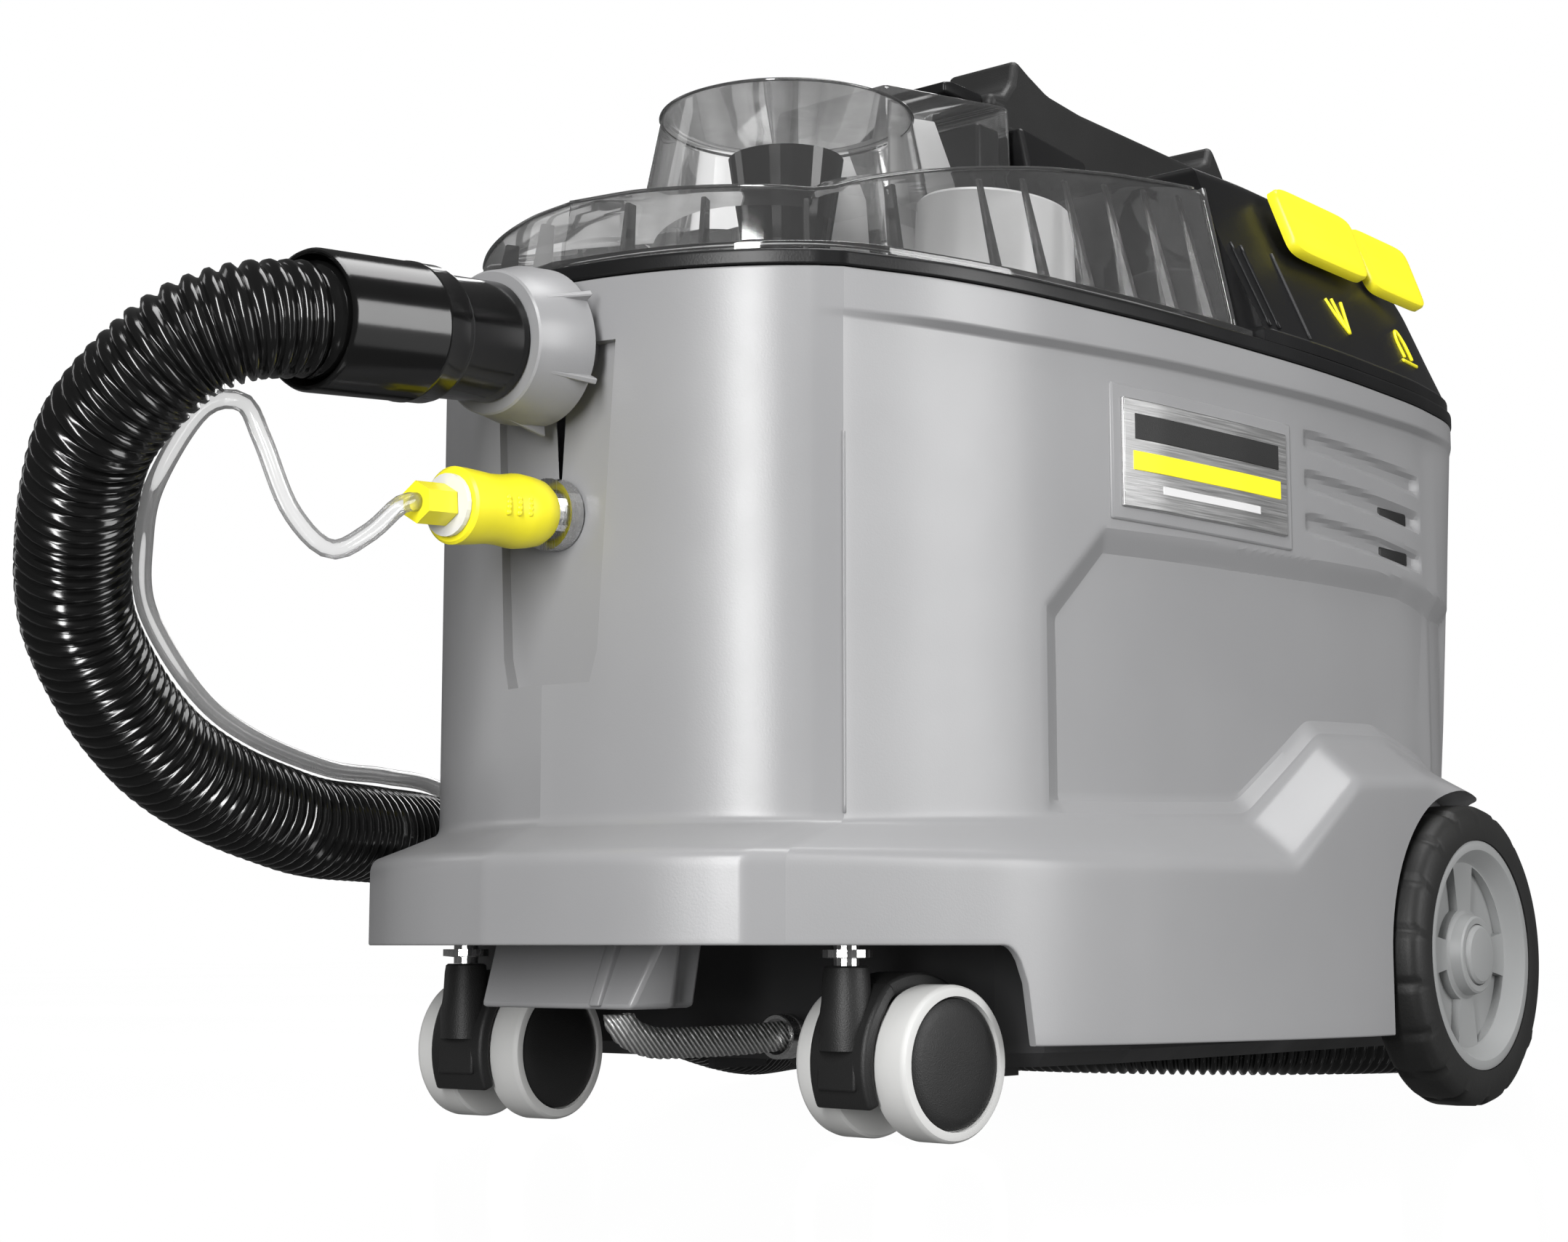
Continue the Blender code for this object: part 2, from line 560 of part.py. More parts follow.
# Hose port, cuff and the suction hose
port = turned("hose_port", [
    (24.3, 25), (27, 12), (27, 1.2), (17.9, 1.2), (17.9, -16), (15.7, -16), (15.7, 25)],
    32, True, PORT, forward(PORT_TILT))
keep(port, grey)
cuff = turned("hose_cuff", [
    (22.6, 103.2), (22.6, 55), (20.3, 52), (20.3, 25.3), (15.7, 25.3), (15.7, 89.3), (20.6, 89.3),
    (20.6, 103.2)],
    28, True, PORT, forward(PORT_TILT))
keep(cuff, material("cuff_black", (0.012, 0.012, 0.012), 0.3))
HOSE_ROUTE = [
    along(PORT, PORT_TILT, 91.0), along(PORT, PORT_TILT, 97), along(PORT, PORT_TILT, 104),
    (-6, -201, 254), (-17, -213, 248), (-29, -220, 238), (-43, -223, 227),
    (-54, -222, 218), (-65, -218, 206), (-76, -212, 194), (-86, -205, 180), (-95, -195, 166),
    (-104, -176, 148), (-110, -157, 134), (-114, -140, 125), (-118, -118, 117), (-122, -93, 111),
    (-126, -69, 107), (-137, -29, 106), (-156, 18, 104), (-178, 75, 88), (-190, 140, 60),
    (-200, 205, 35), (-209, 270, 20.5), (-228, 330, 19.2), (-251, 366, 19.0),
]
hose_black = material("hose_black", (0.01, 0.01, 0.01), 0.12)
keep(tube("suction_hose", smooth_path(HOSE_ROUTE, 72), HOSE_R), hose_black)
ring_low, ring_high = 0.3, 37.3
coil = turned("suction_hose_coil", [
    (COIL_R + 19, ring_high - 8), (COIL_R + 19, ring_low + 8), (COIL_R + 11, ring_low),
    (COIL_R - 49, ring_low), (COIL_R - 57, ring_low + 8), (COIL_R - 57, ring_high - 8),
    (COIL_R - 49, ring_high), (COIL_R + 11, ring_high)], 48, True, (COIL_X, COIL_Y, 0))
keep(coil, hose_black)
END_TURN = math.radians(-28.6)
END_AT = (COIL_X + 102 * math.cos(END_TURN), COIL_Y + 102 * math.sin(END_TURN))
end_cuff = turned("hose_end_cuff", [
    (0, 34.4), (20, 34.4), (20, 3), (18.6, 0.4), (0, 0.4)], 24, False,
    (END_AT[0], END_AT[1], 20.4), (math.radians(90), 0, END_TURN))
keep(end_cuff, material("end_cuff_black", (0.012, 0.012, 0.012), 0.3))

# Spray coupling and its tube
socket = turned("spray_socket", [
    (0, 5.6), (9.0, 5.6), (9.0, 3), (12.4, 3), (12.4, -2.9 + GAP * 0), (9.0, -2.9), (9.0, -14), (0, -14)],
    24, False, SOCKET, forward(SOCKET_TILT))
keep(socket, material("socket_white", (0.8, 0.8, 0.8), 0.3))
body = turned("coupling_body", [
    (0, 47.2), (12.9, 47.2), (12.6, 40), (11.7, 31), (12.7, 19), (11.9, 10), (9.6, 5.9), (0, 5.9)],
    28, False, SOCKET, forward(SOCKET_TILT))
keep(body, yellow)
collar = turned("coupling_ring", [(0, 49.4), (10.4, 49.4), (10.4, 47.5), (0, 47.5)],
                24, False, SOCKET, forward(SOCKET_TILT))
keep(collar, material("coupling_white", (0.85, 0.85, 0.85), 0.3))
nut = rod("coupling_nut", 7.0, 12.6, along(SOCKET, SOCKET_TILT, 56.0), forward(SOCKET_TILT), 6)
keep(nut, yellow)
tube_side = TUBE_R + HOSE_R + 1.0


def beside(point, toward):
    """A point on the spray tube, lying against the suction hose."""
    step = Vector(toward).normalized() * tube_side
    return tuple(Vector(point) + step)


SPRAY_ROUTE = [
    along(SOCKET, SOCKET_TILT, 64.2), (-1, -143, 203.4), (-4, -152.5, 194), (-8, -165, 187.7),
    (-14, -176, 199.4), (-18, -184.6, 221), (-23, -189, 233.0), (-33, -197, 230.5),
    beside((-54, -221, 217), (0.15, 1.0, -0.35)), beside((-76, -212, 194), (0.3, 1.0, 0.0)),
    beside((-95, -195, 166), (0.4, 0.9, 0.35)), beside((-110, -157, 134), (0.5, 0.6, 0.75)),
    beside((-118, -118, 117), (0.45, 0.2, 0.9)), beside((-126, -69, 107), (0.3, 0.0, 1.0)),
    beside((-137, -29, 106), (0.1, 0.1, 1.0)), beside((-156, 18, 104), (0.0, 0.15, 1.0)),
    beside((-178, 75, 88), (0, 0.4, 1.0)), beside((-190, 140, 60), (0, 0.4, 1.0)),
    beside((-200, 205, 35), (0, 0.3, 1.0)), beside((-209, 270, 20.5), (0, 0.1, 1.0)),
    beside((-228, 330, 19.2), (0, 0, 1.0)), beside((-249, 364, 19.0), (0, 0, 1.0)),
]
tube_clear = material("tube_clear", (0.8, 0.82, 0.83), 0.1)
keep(tube("spray_hose", smooth_path(SPRAY_ROUTE, 76), TUBE_R), tube_clear)
spray_coil = turned("spray_hose_coil", [
    (COIL_R + 5, 44.6), (COIL_R + 5, 38), (COIL_R - 25, 38), (COIL_R - 25, 44.6)],
    48, True, (COIL_X, COIL_Y, 0))
keep(spray_coil, tube_clear)
FIT_TURN = math.radians(41.6)
FIT_AT = (COIL_X + 148 * math.cos(FIT_TURN) + 13.4 * math.sin(FIT_TURN),
          COIL_Y + 148 * math.sin(FIT_TURN) - 13.4 * math.cos(FIT_TURN), 43.8)
fitting = rod("spray_end_fitting", 6.0, 26, FIT_AT, (math.radians(90), 0, FIT_TURN), 16)
keep(fitting, material("fitting_yellow", (0.92, 0.82, 0.03), 0.4))

# Badge: a plain plate following the bulged side
badge = loft("badge_plate", [
    [(131.7, 85, 220), (139.3, 185, 220), (139.3, 185, 260), (131.7, 85, 260)],
    [(133.5, 86, 221), (141.1, 184, 221), (141.1, 184, 259), (133.5, 86, 259)]])
keep(badge, material("badge_steel", (0.55, 0.55, 0.55), 0.3, 1.0))

# Casters
tread = material("caster_grey", (0.6, 0.6, 0.6), 0.5)
chrome = material("chrome", (0.7, 0.7, 0.7), 0.15, 1.0)
for label, sign in (("right", 1), ("left", -1)):
    pivot = bpy.data.objects.new("caster_pivot_" + label, None)
    scene.collection.objects.link(pivot)
    put(pivot, sign * CASTER_X, CASTER_Y, 0)
    pivot.rotation_euler = (0, 0, math.radians(CASTER_YAW[label]))
    made = []
    stem = turned("caster_stem_" + label, [
        (0, 99.6), (4.5, 99.6), (4.5, 62.5), (8.5, 62.5), (8.5, 60.0), (4.5, 59.6), (4.5, 57.3), (0, 57.3)],
        16)
    made.append(keep(stem, chrome))
    hood_side = [(-9, 14), (-9, 57), (9, 57), (12, 54.5), (26, 55.5), (38, 53), (48, 46), (54.5, 36),
                 (56, 26), (50.5, 25), (46, 14)]
    hood = flat("caster_hood_" + label, hood_side, 8.6, (0, 0, 0), (math.radians(90), 0, math.radians(90)))
    hood = as_mesh(hood)
    boolean(hood, rod("hood_hole_" + label, 3.3, 40, (0, CASTER_TRAIL, CASTER_R), ALONG_X, 16))
    made.append(keep(hood, material("hood_" + label, (0.012, 0.012, 0.012), 0.4)))
    axle = rod("caster_axle_" + label, 3.0, 42.4, (0, CASTER_TRAIL, CASTER_R), ALONG_X, 16)
    made.append(keep(axle, chrome))
    for inner_label, way in (("a", 1), ("b", -1)):
        turn = (0, math.radians(90 * way), 0)
        wheel = turned(f"caster_wheel_{label}_{inner_label}", [
            (24.6, 24.6), (25.6, 22.6), (25.6, 11), (24.6, 9.2), (3.3, 9.2), (3.3, 21.6), (21.9, 21.6),
            (21.9, 24.6)], 28, True, (0, CASTER_TRAIL, CASTER_R), turn)
        cap = turned(f"caster_cap_{label}_{inner_label}", [
            (0, 25.3), (17, 25.2), (21.5, 24.0), (21.5, 21.9), (0, 21.9)], 28, False,
            (0, CASTER_TRAIL, CASTER_R), turn)
        made.append(keep(wheel, tread))
        made.append(keep(cap, material("cap_" + label + inner_label, (0.015, 0.015, 0.015), 0.6)))
    cutters = [o for o in CUTTERS.objects if o.name == "hood_hole_" + label]
    for obj in made + cutters:
        obj.location.y -= Y_SHIFT * MM
        obj.parent = pivot

# Rear wheels on a fixed axle
axle = rod("rear_axle", 5.0, 326, (0, AXLE_Y, AXLE_Z), ALONG_X, 20)
keep(axle, material("axle_steel", (0.5, 0.5, 0.5), 0.3, 1.0))
rubber = material("tyre_rubber", (0.015, 0.015, 0.015), 0.6)
for label, way in (("right", 1), ("left", -1)):
    turn = (0, math.radians(90 * way), 0)
    at = (0, AXLE_Y, AXLE_Z)
    tyre = turned("tyre_" + label, [
        (46, 168.4), (50, 169), (56, 168), (REAR_R, 163), (REAR_R, 151), (56, 146), (50, 145), (46, 145.6)],
        36, True, at, turn)
    keep(tyre, rubber)
    wheel_rim = turned("wheel_rim_" + label, [
        (45.7, 167.8), (45.7, 146), (39, 146), (39, 156), (14, 156), (14, 145.5), (5.3, 145.5),
        (5.3, 163.4), (12.3, 163.4), (12.3, 166.5), (15, 166.5), (17, 161), (37, 161), (41, 167.8)],
        32, True, at, turn)
    wheel_rim = as_mesh(wheel_rim)
    for k in range(4):
        angle = math.radians(45 + 90 * k)
        spot = (way * 158.0, AXLE_Y + 27.5 * math.cos(angle), AXLE_Z + 27.5 * math.sin(angle))
        window = box(f"window_{label}{k}", (-10, -7.5, -8), (10, 7.5, 8))
        window.rotation_euler = (angle, 0, 0)
        put(window, *spot)
        boolean(wheel_rim, window)
    keep(wheel_rim, material("rim_grey_" + label, (0.4, 0.41, 0.42), 0.45))
    cap = turned("hub_cap_" + label, [(0, 168.6), (10, 168.4), (12, 167), (12, 163.7), (0, 163.7)],
                 24, False, at, turn)
    keep(cap, material("hub_grey_" + label, (0.35, 0.36, 0.37), 0.4))
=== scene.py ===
"""Looks for the spot extractor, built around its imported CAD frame."""

import json
import math

import bmesh
import bpy
import numpy as np
from mathutils import Matrix, Vector

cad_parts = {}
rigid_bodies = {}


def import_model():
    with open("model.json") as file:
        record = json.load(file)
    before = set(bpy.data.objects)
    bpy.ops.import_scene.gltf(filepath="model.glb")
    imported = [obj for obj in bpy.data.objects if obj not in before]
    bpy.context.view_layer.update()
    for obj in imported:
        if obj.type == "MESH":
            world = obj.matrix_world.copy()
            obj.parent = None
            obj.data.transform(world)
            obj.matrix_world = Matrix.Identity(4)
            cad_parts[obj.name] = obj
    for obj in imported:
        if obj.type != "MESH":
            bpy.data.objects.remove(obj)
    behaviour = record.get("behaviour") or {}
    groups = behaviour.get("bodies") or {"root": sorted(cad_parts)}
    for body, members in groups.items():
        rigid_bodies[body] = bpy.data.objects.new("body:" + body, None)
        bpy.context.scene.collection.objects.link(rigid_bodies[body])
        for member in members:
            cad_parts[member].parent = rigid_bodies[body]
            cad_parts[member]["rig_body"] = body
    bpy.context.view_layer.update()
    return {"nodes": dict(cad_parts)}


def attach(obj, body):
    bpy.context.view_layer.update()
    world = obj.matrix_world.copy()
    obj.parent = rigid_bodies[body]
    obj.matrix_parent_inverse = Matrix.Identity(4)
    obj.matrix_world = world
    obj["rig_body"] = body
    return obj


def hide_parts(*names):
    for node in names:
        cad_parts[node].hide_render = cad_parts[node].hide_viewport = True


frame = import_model()
SHIFT = -147.45
MM = 0.001
WELD = 1e-6
SIDES = ((1, "right"), (-1, "left"))
scene = bpy.context.scene
scene.view_settings.view_transform = "Standard"


def pt(p):
    """A design point in millimetres as a point in the frame."""
    return Vector((p[0] * MM, (p[1] + SHIFT) * MM, p[2] * MM))


# ---------------------------------------------------------------- camera, floor, light
camera = bpy.data.objects.new("camera", bpy.data.cameras.new("camera"))
scene.collection.objects.link(camera)
camera.data.lens = 58.345
camera.data.sensor_width = 36
camera.data.clip_start = 0.01
PITCH, TURN = 0.1269, 0.6876
fwd = Vector((-math.sin(TURN) * math.cos(PITCH), math.cos(TURN) * math.cos(PITCH), math.sin(PITCH)))
right = Vector((math.cos(TURN), math.sin(TURN), 0))
up = right.cross(fwd)
spot = Vector((0.60475, -0.68551 + SHIFT * MM, 0.06392))
camera.matrix_world = Matrix((
    (right.x, up.x, -fwd.x, spot.x), (right.y, up.y, -fwd.y, spot.y), (right.z, up.z, -fwd.z, spot.z),
    (0, 0, 0, 1)))
scene.camera = camera

world = bpy.data.worlds.new("studio")
scene.world = world
world.use_nodes = True
wn = world.node_tree
back = wn.nodes["Background"]
back.inputs[0].default_value = (1, 1, 1, 1)
back.inputs[1].default_value = 0.12
path = wn.nodes.new("ShaderNodeLightPath")
white = wn.nodes.new("ShaderNodeBackground")
white.inputs[0].default_value = (1, 1, 1, 1)
white.inputs[1].default_value = 1.0
mix = wn.nodes.new("ShaderNodeMixShader")
wn.links.new(path.outputs["Is Camera Ray"], mix.inputs[0])
wn.links.new(back.outputs[0], mix.inputs[1])
wn.links.new(white.outputs[0], mix.inputs[2])
wn.links.new(mix.outputs[0], wn.nodes["World Output"].inputs[0])


def area(name, at, aim, size, power, size_y=None):
    data = bpy.data.lights.new(name, "AREA")
    data.shape = "RECTANGLE"
    data.size = size
    data.size_y = size_y or size
    data.energy = power
    obj = bpy.data.objects.new(name, data)
    scene.collection.objects.link(obj)
    obj.location = at
    obj.rotation_euler = (Vector(aim) - Vector(at)).to_track_quat("-Z", "Y").to_euler()
    return obj


area("key_box", (0.66, -1.5, 0.42), (0.06, -0.2, 0.2), 0.2, 40, 1.7)
area("side_box", (1.9, 0.42, 0.55), (0.13, 0.02, 0.18), 0.7, 24, 1.2)
area("left_box", (-1.7, -0.7, 0.9), (-0.1, -0.2, 0.2), 0.4, 3, 1.4)
area("top_box", (0.3, 0.1, 2.0), (0, 0, 0.3), 1.0, 26)
area("rim_box", (-1.2, 1.7, 1.1), (0, 0, 0.3), 0.9, 10)


# ---------------------------------------------------------------- materials
class Net:
    """A material's nodes, written shortly."""

    def __init__(self, name, rough=0.5, metal=0.0, colour=(0.5, 0.5, 0.5)):
        self.mat = bpy.data.materials.new(name)
        self.mat.use_nodes = True
        self.tree = self.mat.node_tree
        self.shader = self.tree.nodes["Principled BSDF"]
        self.out = self.tree.nodes["Material Output"]
        self.set("Roughness", rough)
        self.set("Metallic", metal)
        self.set("Base Color", (*colour, 1))
        self.coord = self.tree.nodes.new("ShaderNodeTexCoord")

    def set(self, socket, value):
        self.shader.inputs[socket].default_value = value

    def node(self, kind, **values):
        made = self.tree.nodes.new(kind)
        for key, value in values.items():
            if hasattr(made, key):
                setattr(made, key, value)
            else:
                made.inputs[key.replace("_", " ")].default_value = value
        return made

    def link(self, a, b):
        self.tree.links.new(a, b)

    def noise(self, scale, detail=2.0, rough=0.5):
        made = self.node("ShaderNodeTexNoise", Scale=scale, Detail=detail, Roughness=rough)
        self.link(self.coord.outputs["Object"], made.inputs["Vector"])
        return made.outputs["Fac"]

    def ramp(self, fac, stops):
        made = self.node("ShaderNodeValToRGB")
        for i, (pos, colour) in enumerate(stops):
            stop = made.color_ramp.elements[i] if i < 2 else made.color_ramp.elements.new(pos)
            stop.position = pos
            stop.color = (*colour, 1) if len(colour) == 3 else colour
        self.link(fac, made.inputs[0])
        return made.outputs[0]

    def span(self, fac, low, high):
        made = self.node("ShaderNodeMapRange")
        made.inputs["To Min"].default_value = low
        made.inputs["To Max"].default_value = high
        self.link(fac, made.inputs["Value"])
        return made.outputs[0]

    def bump(self, fac, strength, distance):
        made = self.node("ShaderNodeBump", Strength=strength, Distance=distance)
        self.link(fac, made.inputs["Height"])
        old = self.shader.inputs["Normal"].links
        if old:
            self.link(old[0].from_socket, made.inputs["Normal"])
        self.link(made.outputs[0], self.shader.inputs["Normal"])


def moulded(name, dark, light, rough, grain=900, depth=0.12, spread=0.08, coat=0.0, shine=0.4):
    """Moulded plastic: a fine spark-eroded grain, slight colour drift and uneven sheen."""
    net = Net(name, rough)
    net.link(net.ramp(net.noise(9, 3), [(0.3, dark), (0.7, light)]), net.shader.inputs["Base Color"])
    net.link(net.span(net.noise(60, 4), rough - spread, rough + spread), net.shader.inputs["Roughness"])
    if depth:
        net.bump(net.noise(grain, 1.5), depth, 0.0002)
    net.set("Coat Weight", coat)
    net.set("Specular IOR Level", shine)
    return net.mat


grey_plastic = moulded("tub_grey", (0.255, 0.255, 0.26), (0.28, 0.28, 0.285), 0.30, 1500, 0.10, 0.03)
black_plastic = moulded("satin_black", (0.004, 0.004, 0.0042), (0.007, 0.007, 0.0075), 0.36, 1400, 0.15, 0.05,
                        0.0, 0.3)
black_gloss = moulded("gloss_black", (0.003, 0.003, 0.003), (0.006, 0.006, 0.006), 0.14, 500, 0.03, 0.05)
black_fine = moulded("grained_black", (0.008, 0.008, 0.008), (0.016, 0.016, 0.016), 0.5, 2200, 0.5, 0.06)
yellow_plastic = moulded("signal_yellow", (0.90, 0.80, 0.02), (0.95, 0.86, 0.03), 0.32, 900, 0.05, 0.05)
white_plastic = moulded("white_plastic", (0.66, 0.66, 0.66), (0.74, 0.74, 0.74), 0.35, 900, 0.05, 0.05)
tread_rubber = moulded("tread_grey", (0.56, 0.56, 0.55), (0.64, 0.64, 0.63), 0.5, 700, 0.1, 0.08)
tyre_rubber = moulded("tyre_black", (0.006, 0.006, 0.006), (0.014, 0.014, 0.013), 0.55, 800, 0.35, 0.08)
rim_plastic = moulded("rim_grey", (0.26, 0.265, 0.265), (0.31, 0.315, 0.315), 0.4, 1200, 0.1, 0.06)
dark_under = moulded("under_black", (0.02, 0.02, 0.021), (0.035, 0.035, 0.036), 0.5, 600, 0.15, 0.1)


def brushed(name, colour, rough, along=(1, 1, 1), strength=0.3):
    net = Net(name, rough, 1.0, colour)
    mapping = net.node("ShaderNodeMapping")
    mapping.inputs["Scale"].default_value = along
    net.link(net.coord.outputs["Object"], mapping.inputs["Vector"])
    streak = net.node("ShaderNodeTexNoise", Scale=60.0, Detail=4.0)
    net.link(mapping.outputs[0], streak.inputs["Vector"])
    net.link(net.span(streak.outputs["Fac"], rough - 0.1, rough + 0.15), net.shader.inputs["Roughness"])
    net.bump(streak.outputs["Fac"], strength, 0.0003)
    low = tuple(c * 0.8 for c in colour)
    net.link(net.ramp(streak.outputs["Fac"], [(0.35, low), (0.65, colour)]), net.shader.inputs["Base Color"])
    return net.mat


badge_metal = brushed("badge_brushed", (0.62, 0.62, 0.62), 0.32, (1, 0.6, 40))
steel = brushed("steel", (0.62, 0.62, 0.62), 0.22, (20, 20, 1), 0.1)
motor_metal = brushed("motor_metal", (0.5, 0.5, 0.52), 0.4, (1, 1, 12), 0.2)


def clear_material(name, tint, edge, gloss=0.05, haze=0.0):
    """Thin clear plastic: see-through face on; where it turns away, painted shade darkens it and a glossy
    reflection brightens it.
    """
    net = Net(name, gloss)
    tree = net.tree
    through = net.node("ShaderNodeBsdfTransparent")
    layer = net.node("ShaderNodeLayerWeight", Blend=0.3)
    # Painted shade: the see-through colour runs from the face-on tint to a darker edge colour as the surface
    # turns away, standing in for the dark surroundings that real clear plastic reflects and bends there.
    net.link(net.ramp(layer.outputs["Facing"], [(0.45, tint), (0.96, edge)]), through.inputs[0])
    shine = net.node("ShaderNodeBsdfGlossy", Roughness=gloss)
    net.link(net.ramp(net.noise(40, 2), [(0.3, (0.85, 0.85, 0.85)), (0.7, (1, 1, 1))]), shine.inputs[0])
    fres = net.node("ShaderNodeFresnel", IOR=1.5)
    mixed = net.node("ShaderNodeMixShader")
    net.link(net.span(fres.outputs[0], 0.02, 0.9), mixed.inputs[0])
    net.link(through.outputs[0], mixed.inputs[1])
    net.link(shine.outputs[0], mixed.inputs[2])
    last = mixed
    if haze:
        milk = net.node("ShaderNodeBsdfDiffuse")
        net.link(net.ramp(net.noise(25, 2), [(0.3, (0.7, 0.7, 0.7)), (0.7, (0.8, 0.8, 0.8))]), milk.inputs[0])
        both = net.node("ShaderNodeMixShader")
        both.inputs[0].default_value = haze
        net.link(mixed.outputs[0], both.inputs[1])
        net.link(milk.outputs[0], both.inputs[2])
        last = both
    net.link(last.outputs[0], net.out.inputs["Surface"])
    return net.mat


# Painted shade: in each of these the edge colour darkens the clear plastic where it turns away, and the lid's
# slight grey tint face on is painted shade as well. The second is darkened face on too, as painted shade for
# the lid's fins, rear bars and edge lines, whose clear plastic looks dark.
clear_lid = clear_material("clear_lid", (0.95, 0.95, 0.95), (0.16, 0.16, 0.16), 0.04, 0.03)
clear_edge_painted_shade = clear_material("clear_edge_painted_shade", (0.30, 0.30, 0.30), (0.03, 0.03, 0.03), 0.06, 0.05)
clear_tube = clear_material("clear_tube", (0.93, 0.93, 0.93), (0.30, 0.30, 0.29), 0.12, 0.12)

weave = Net("braid_weave", 0.4, 0.7, (0.6, 0.6, 0.6))
wave = weave.node("ShaderNodeTexWave", Scale=260.0)
wave.wave_type = "BANDS"
wave.bands_direction = "DIAGONAL"
weave.link(weave.coord.outputs["Object"], wave.inputs["Vector"])
weave.link(weave.ramp(wave.outputs["Fac"], [(0.3, (0.25, 0.25, 0.25)), (0.7, (0.75, 0.75, 0.74))]),
           weave.shader.inputs["Base Color"])
weave.bump(wave.outputs["Fac"], 0.8, 0.0006)

floor_net = Net("floor_white", 0.12)
glow = floor_net.node("ShaderNodeEmission")
pale = floor_net.ramp(floor_net.noise(2, 2), [(0.3, (0.99, 0.99, 0.99)), (0.7, (1, 1, 1))])
floor_net.link(pale, glow.inputs[0])
mirror = floor_net.node("ShaderNodeBsdfGlossy", Roughness=0.12)
both = floor_net.node("ShaderNodeMixShader")
both.inputs[0].default_value = 0.13
seen = floor_net.node("ShaderNodeLightPath")
glow_dim = floor_net.node("ShaderNodeMapRange")
glow_dim.inputs["To Min"].default_value = 0.16
glow_dim.inputs["To Max"].default_value = 1.14
floor_net.link(seen.outputs["Is Camera Ray"], glow_dim.inputs["Value"])
floor_net.link(glow_dim.outputs[0], glow.inputs["Strength"])
floor_net.link(glow.outputs[0], both.inputs[1])
floor_net.link(mirror.outputs[0], both.inputs[2])
floor_net.link(both.outputs[0], floor_net.out.inputs["Surface"])
bpy.ops.mesh.primitive_plane_add(size=14, location=(0, 0, -0.0004))
floor = bpy.context.object
floor.name = "floor"
floor.data.materials.append(floor_net.mat)


# ---------------------------------------------------------------- helpers
def link(obj, body, mat, smooth=True, replaces=(), auto=None):
    """Puts a piece on a body, with its material, that material's slot and the CAD nodes it replaces."""
    if obj.name not in scene.collection.objects:
        for coll in list(obj.users_collection):
            coll.objects.unlink(obj)
        scene.collection.objects.link(obj)
    obj.data.materials.clear()
    obj.data.materials.append(mat)
    if smooth and obj.type == "MESH":
        obj.data.polygons.foreach_set("use_smooth", [True] * len(obj.data.polygons))
        if auto:
            bm = bmesh.new()
            bm.from_mesh(obj.data)
            for edge in bm.edges:
                if len(edge.link_faces) == 2 and edge.calc_face_angle(0) > math.radians(auto):
                    edge.smooth = False
            bm.to_mesh(obj.data)
            bm.free()
    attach(obj, body)
    if replaces:
        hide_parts(*replaces)
    return obj


def mesh_of(name, points, faces):
    """An object from design points in millimetres."""
    mesh = bpy.data.meshes.new(name)
    mesh.from_pydata([tuple(pt(p)) for p in points], [], faces)
    mesh.update()
    return bpy.data.objects.new(name, mesh)


def facing_out(obj, weld=0.0):
    """The object with its normals outward, its doubled points made one first if asked."""
    bm = bmesh.new()
    bm.from_mesh(obj.data)
    if weld:
        bmesh.ops.remove_doubles(bm, verts=bm.verts, dist=weld)
    bmesh.ops.recalc_face_normals(bm, faces=bm.faces)
    bm.to_mesh(obj.data)
    bm.free()
    return obj


def grid_faces(rows, cols, closed=True):
    faces = []
    wide = cols if closed else cols - 1
    for r in range(rows - 1):
        for c in range(wide):
            d = (c + 1) % cols
            faces.append((r * cols + c, r * cols + d, (r + 1) * cols + d, (r + 1) * cols + c))
    return faces


def rings_object(name, rings, cap_low=False, cap_high=False):
    """A surface through rings of equal length."""
    cols = len(rings[0])
    points = [p for ring in rings for p in ring]
    faces = grid_faces(len(rings), cols)
    if cap_low:
        faces.append(tuple(range(cols))[::-1])
    if cap_high:
        faces.append(tuple(range((len(rings) - 1) * cols, len(rings) * cols)))
    return mesh_of(name, points, faces)


def solid(name, rings):
    """A closed body through rings of equal length."""
    return facing_out(rings_object(name, rings, True, True))


def spline(knots, values, at):
    """A smooth curve through values at uneven knots, read at points."""
    knots, values, at = np.array(knots, float), np.array(values, float), np.array(at, float)
    h = np.diff(knots)
    slope = np.diff(values) / h
    tang = np.empty(len(values))
    tang[1:-1] = (slope[:-1] * h[1:] + slope[1:] * h[:-1]) / (h[:-1] + h[1:])
    tang[0], tang[-1] = slope[0], slope[-1]
    i = np.clip(np.searchsorted(knots, at, side="right") - 1, 0, len(h) - 1)
    t = (at - knots[i]) / h[i]
    t2, t3 = t * t, t * t * t
    return ((2 * t3 - 3 * t2 + 1) * values[i] + (t3 - 2 * t2 + t) * h[i] * tang[i]
            + (3 * t2 - 2 * t3) * values[i + 1] + (t3 - t2) * h[i] * tang[i + 1])


def catmull(route, step):
    """Evenly spaced points on a smooth curve through the route."""
    pts = [np.array(p, float) for p in route]
    pts = [pts[0] * 2 - pts[1]] + pts + [pts[-1] * 2 - pts[-2]]
    fine = []
    for i in range(1, len(pts) - 2):
        a, b, c, d = pts[i - 1:i + 3]
        for k in range(24):
            t = k / 24
            fine.append(0.5 * (2 * b + (c - a) * t + (2 * a - 5 * b + 4 * c - d) * t * t
                               + (3 * b - a - 3 * c + d) * t ** 3))
    fine.append(pts[-2])
    fine = np.array(fine)
    run = np.concatenate([[0], np.cumsum(np.linalg.norm(np.diff(fine, axis=0), axis=1))])
    count = max(int(run[-1] / step), 8) if step < run[-1] else 8
    want = np.linspace(0, run[-1], count + 1)
    return np.stack([np.interp(want, run, fine[:, k]) for k in range(3)], 1), run[-1]


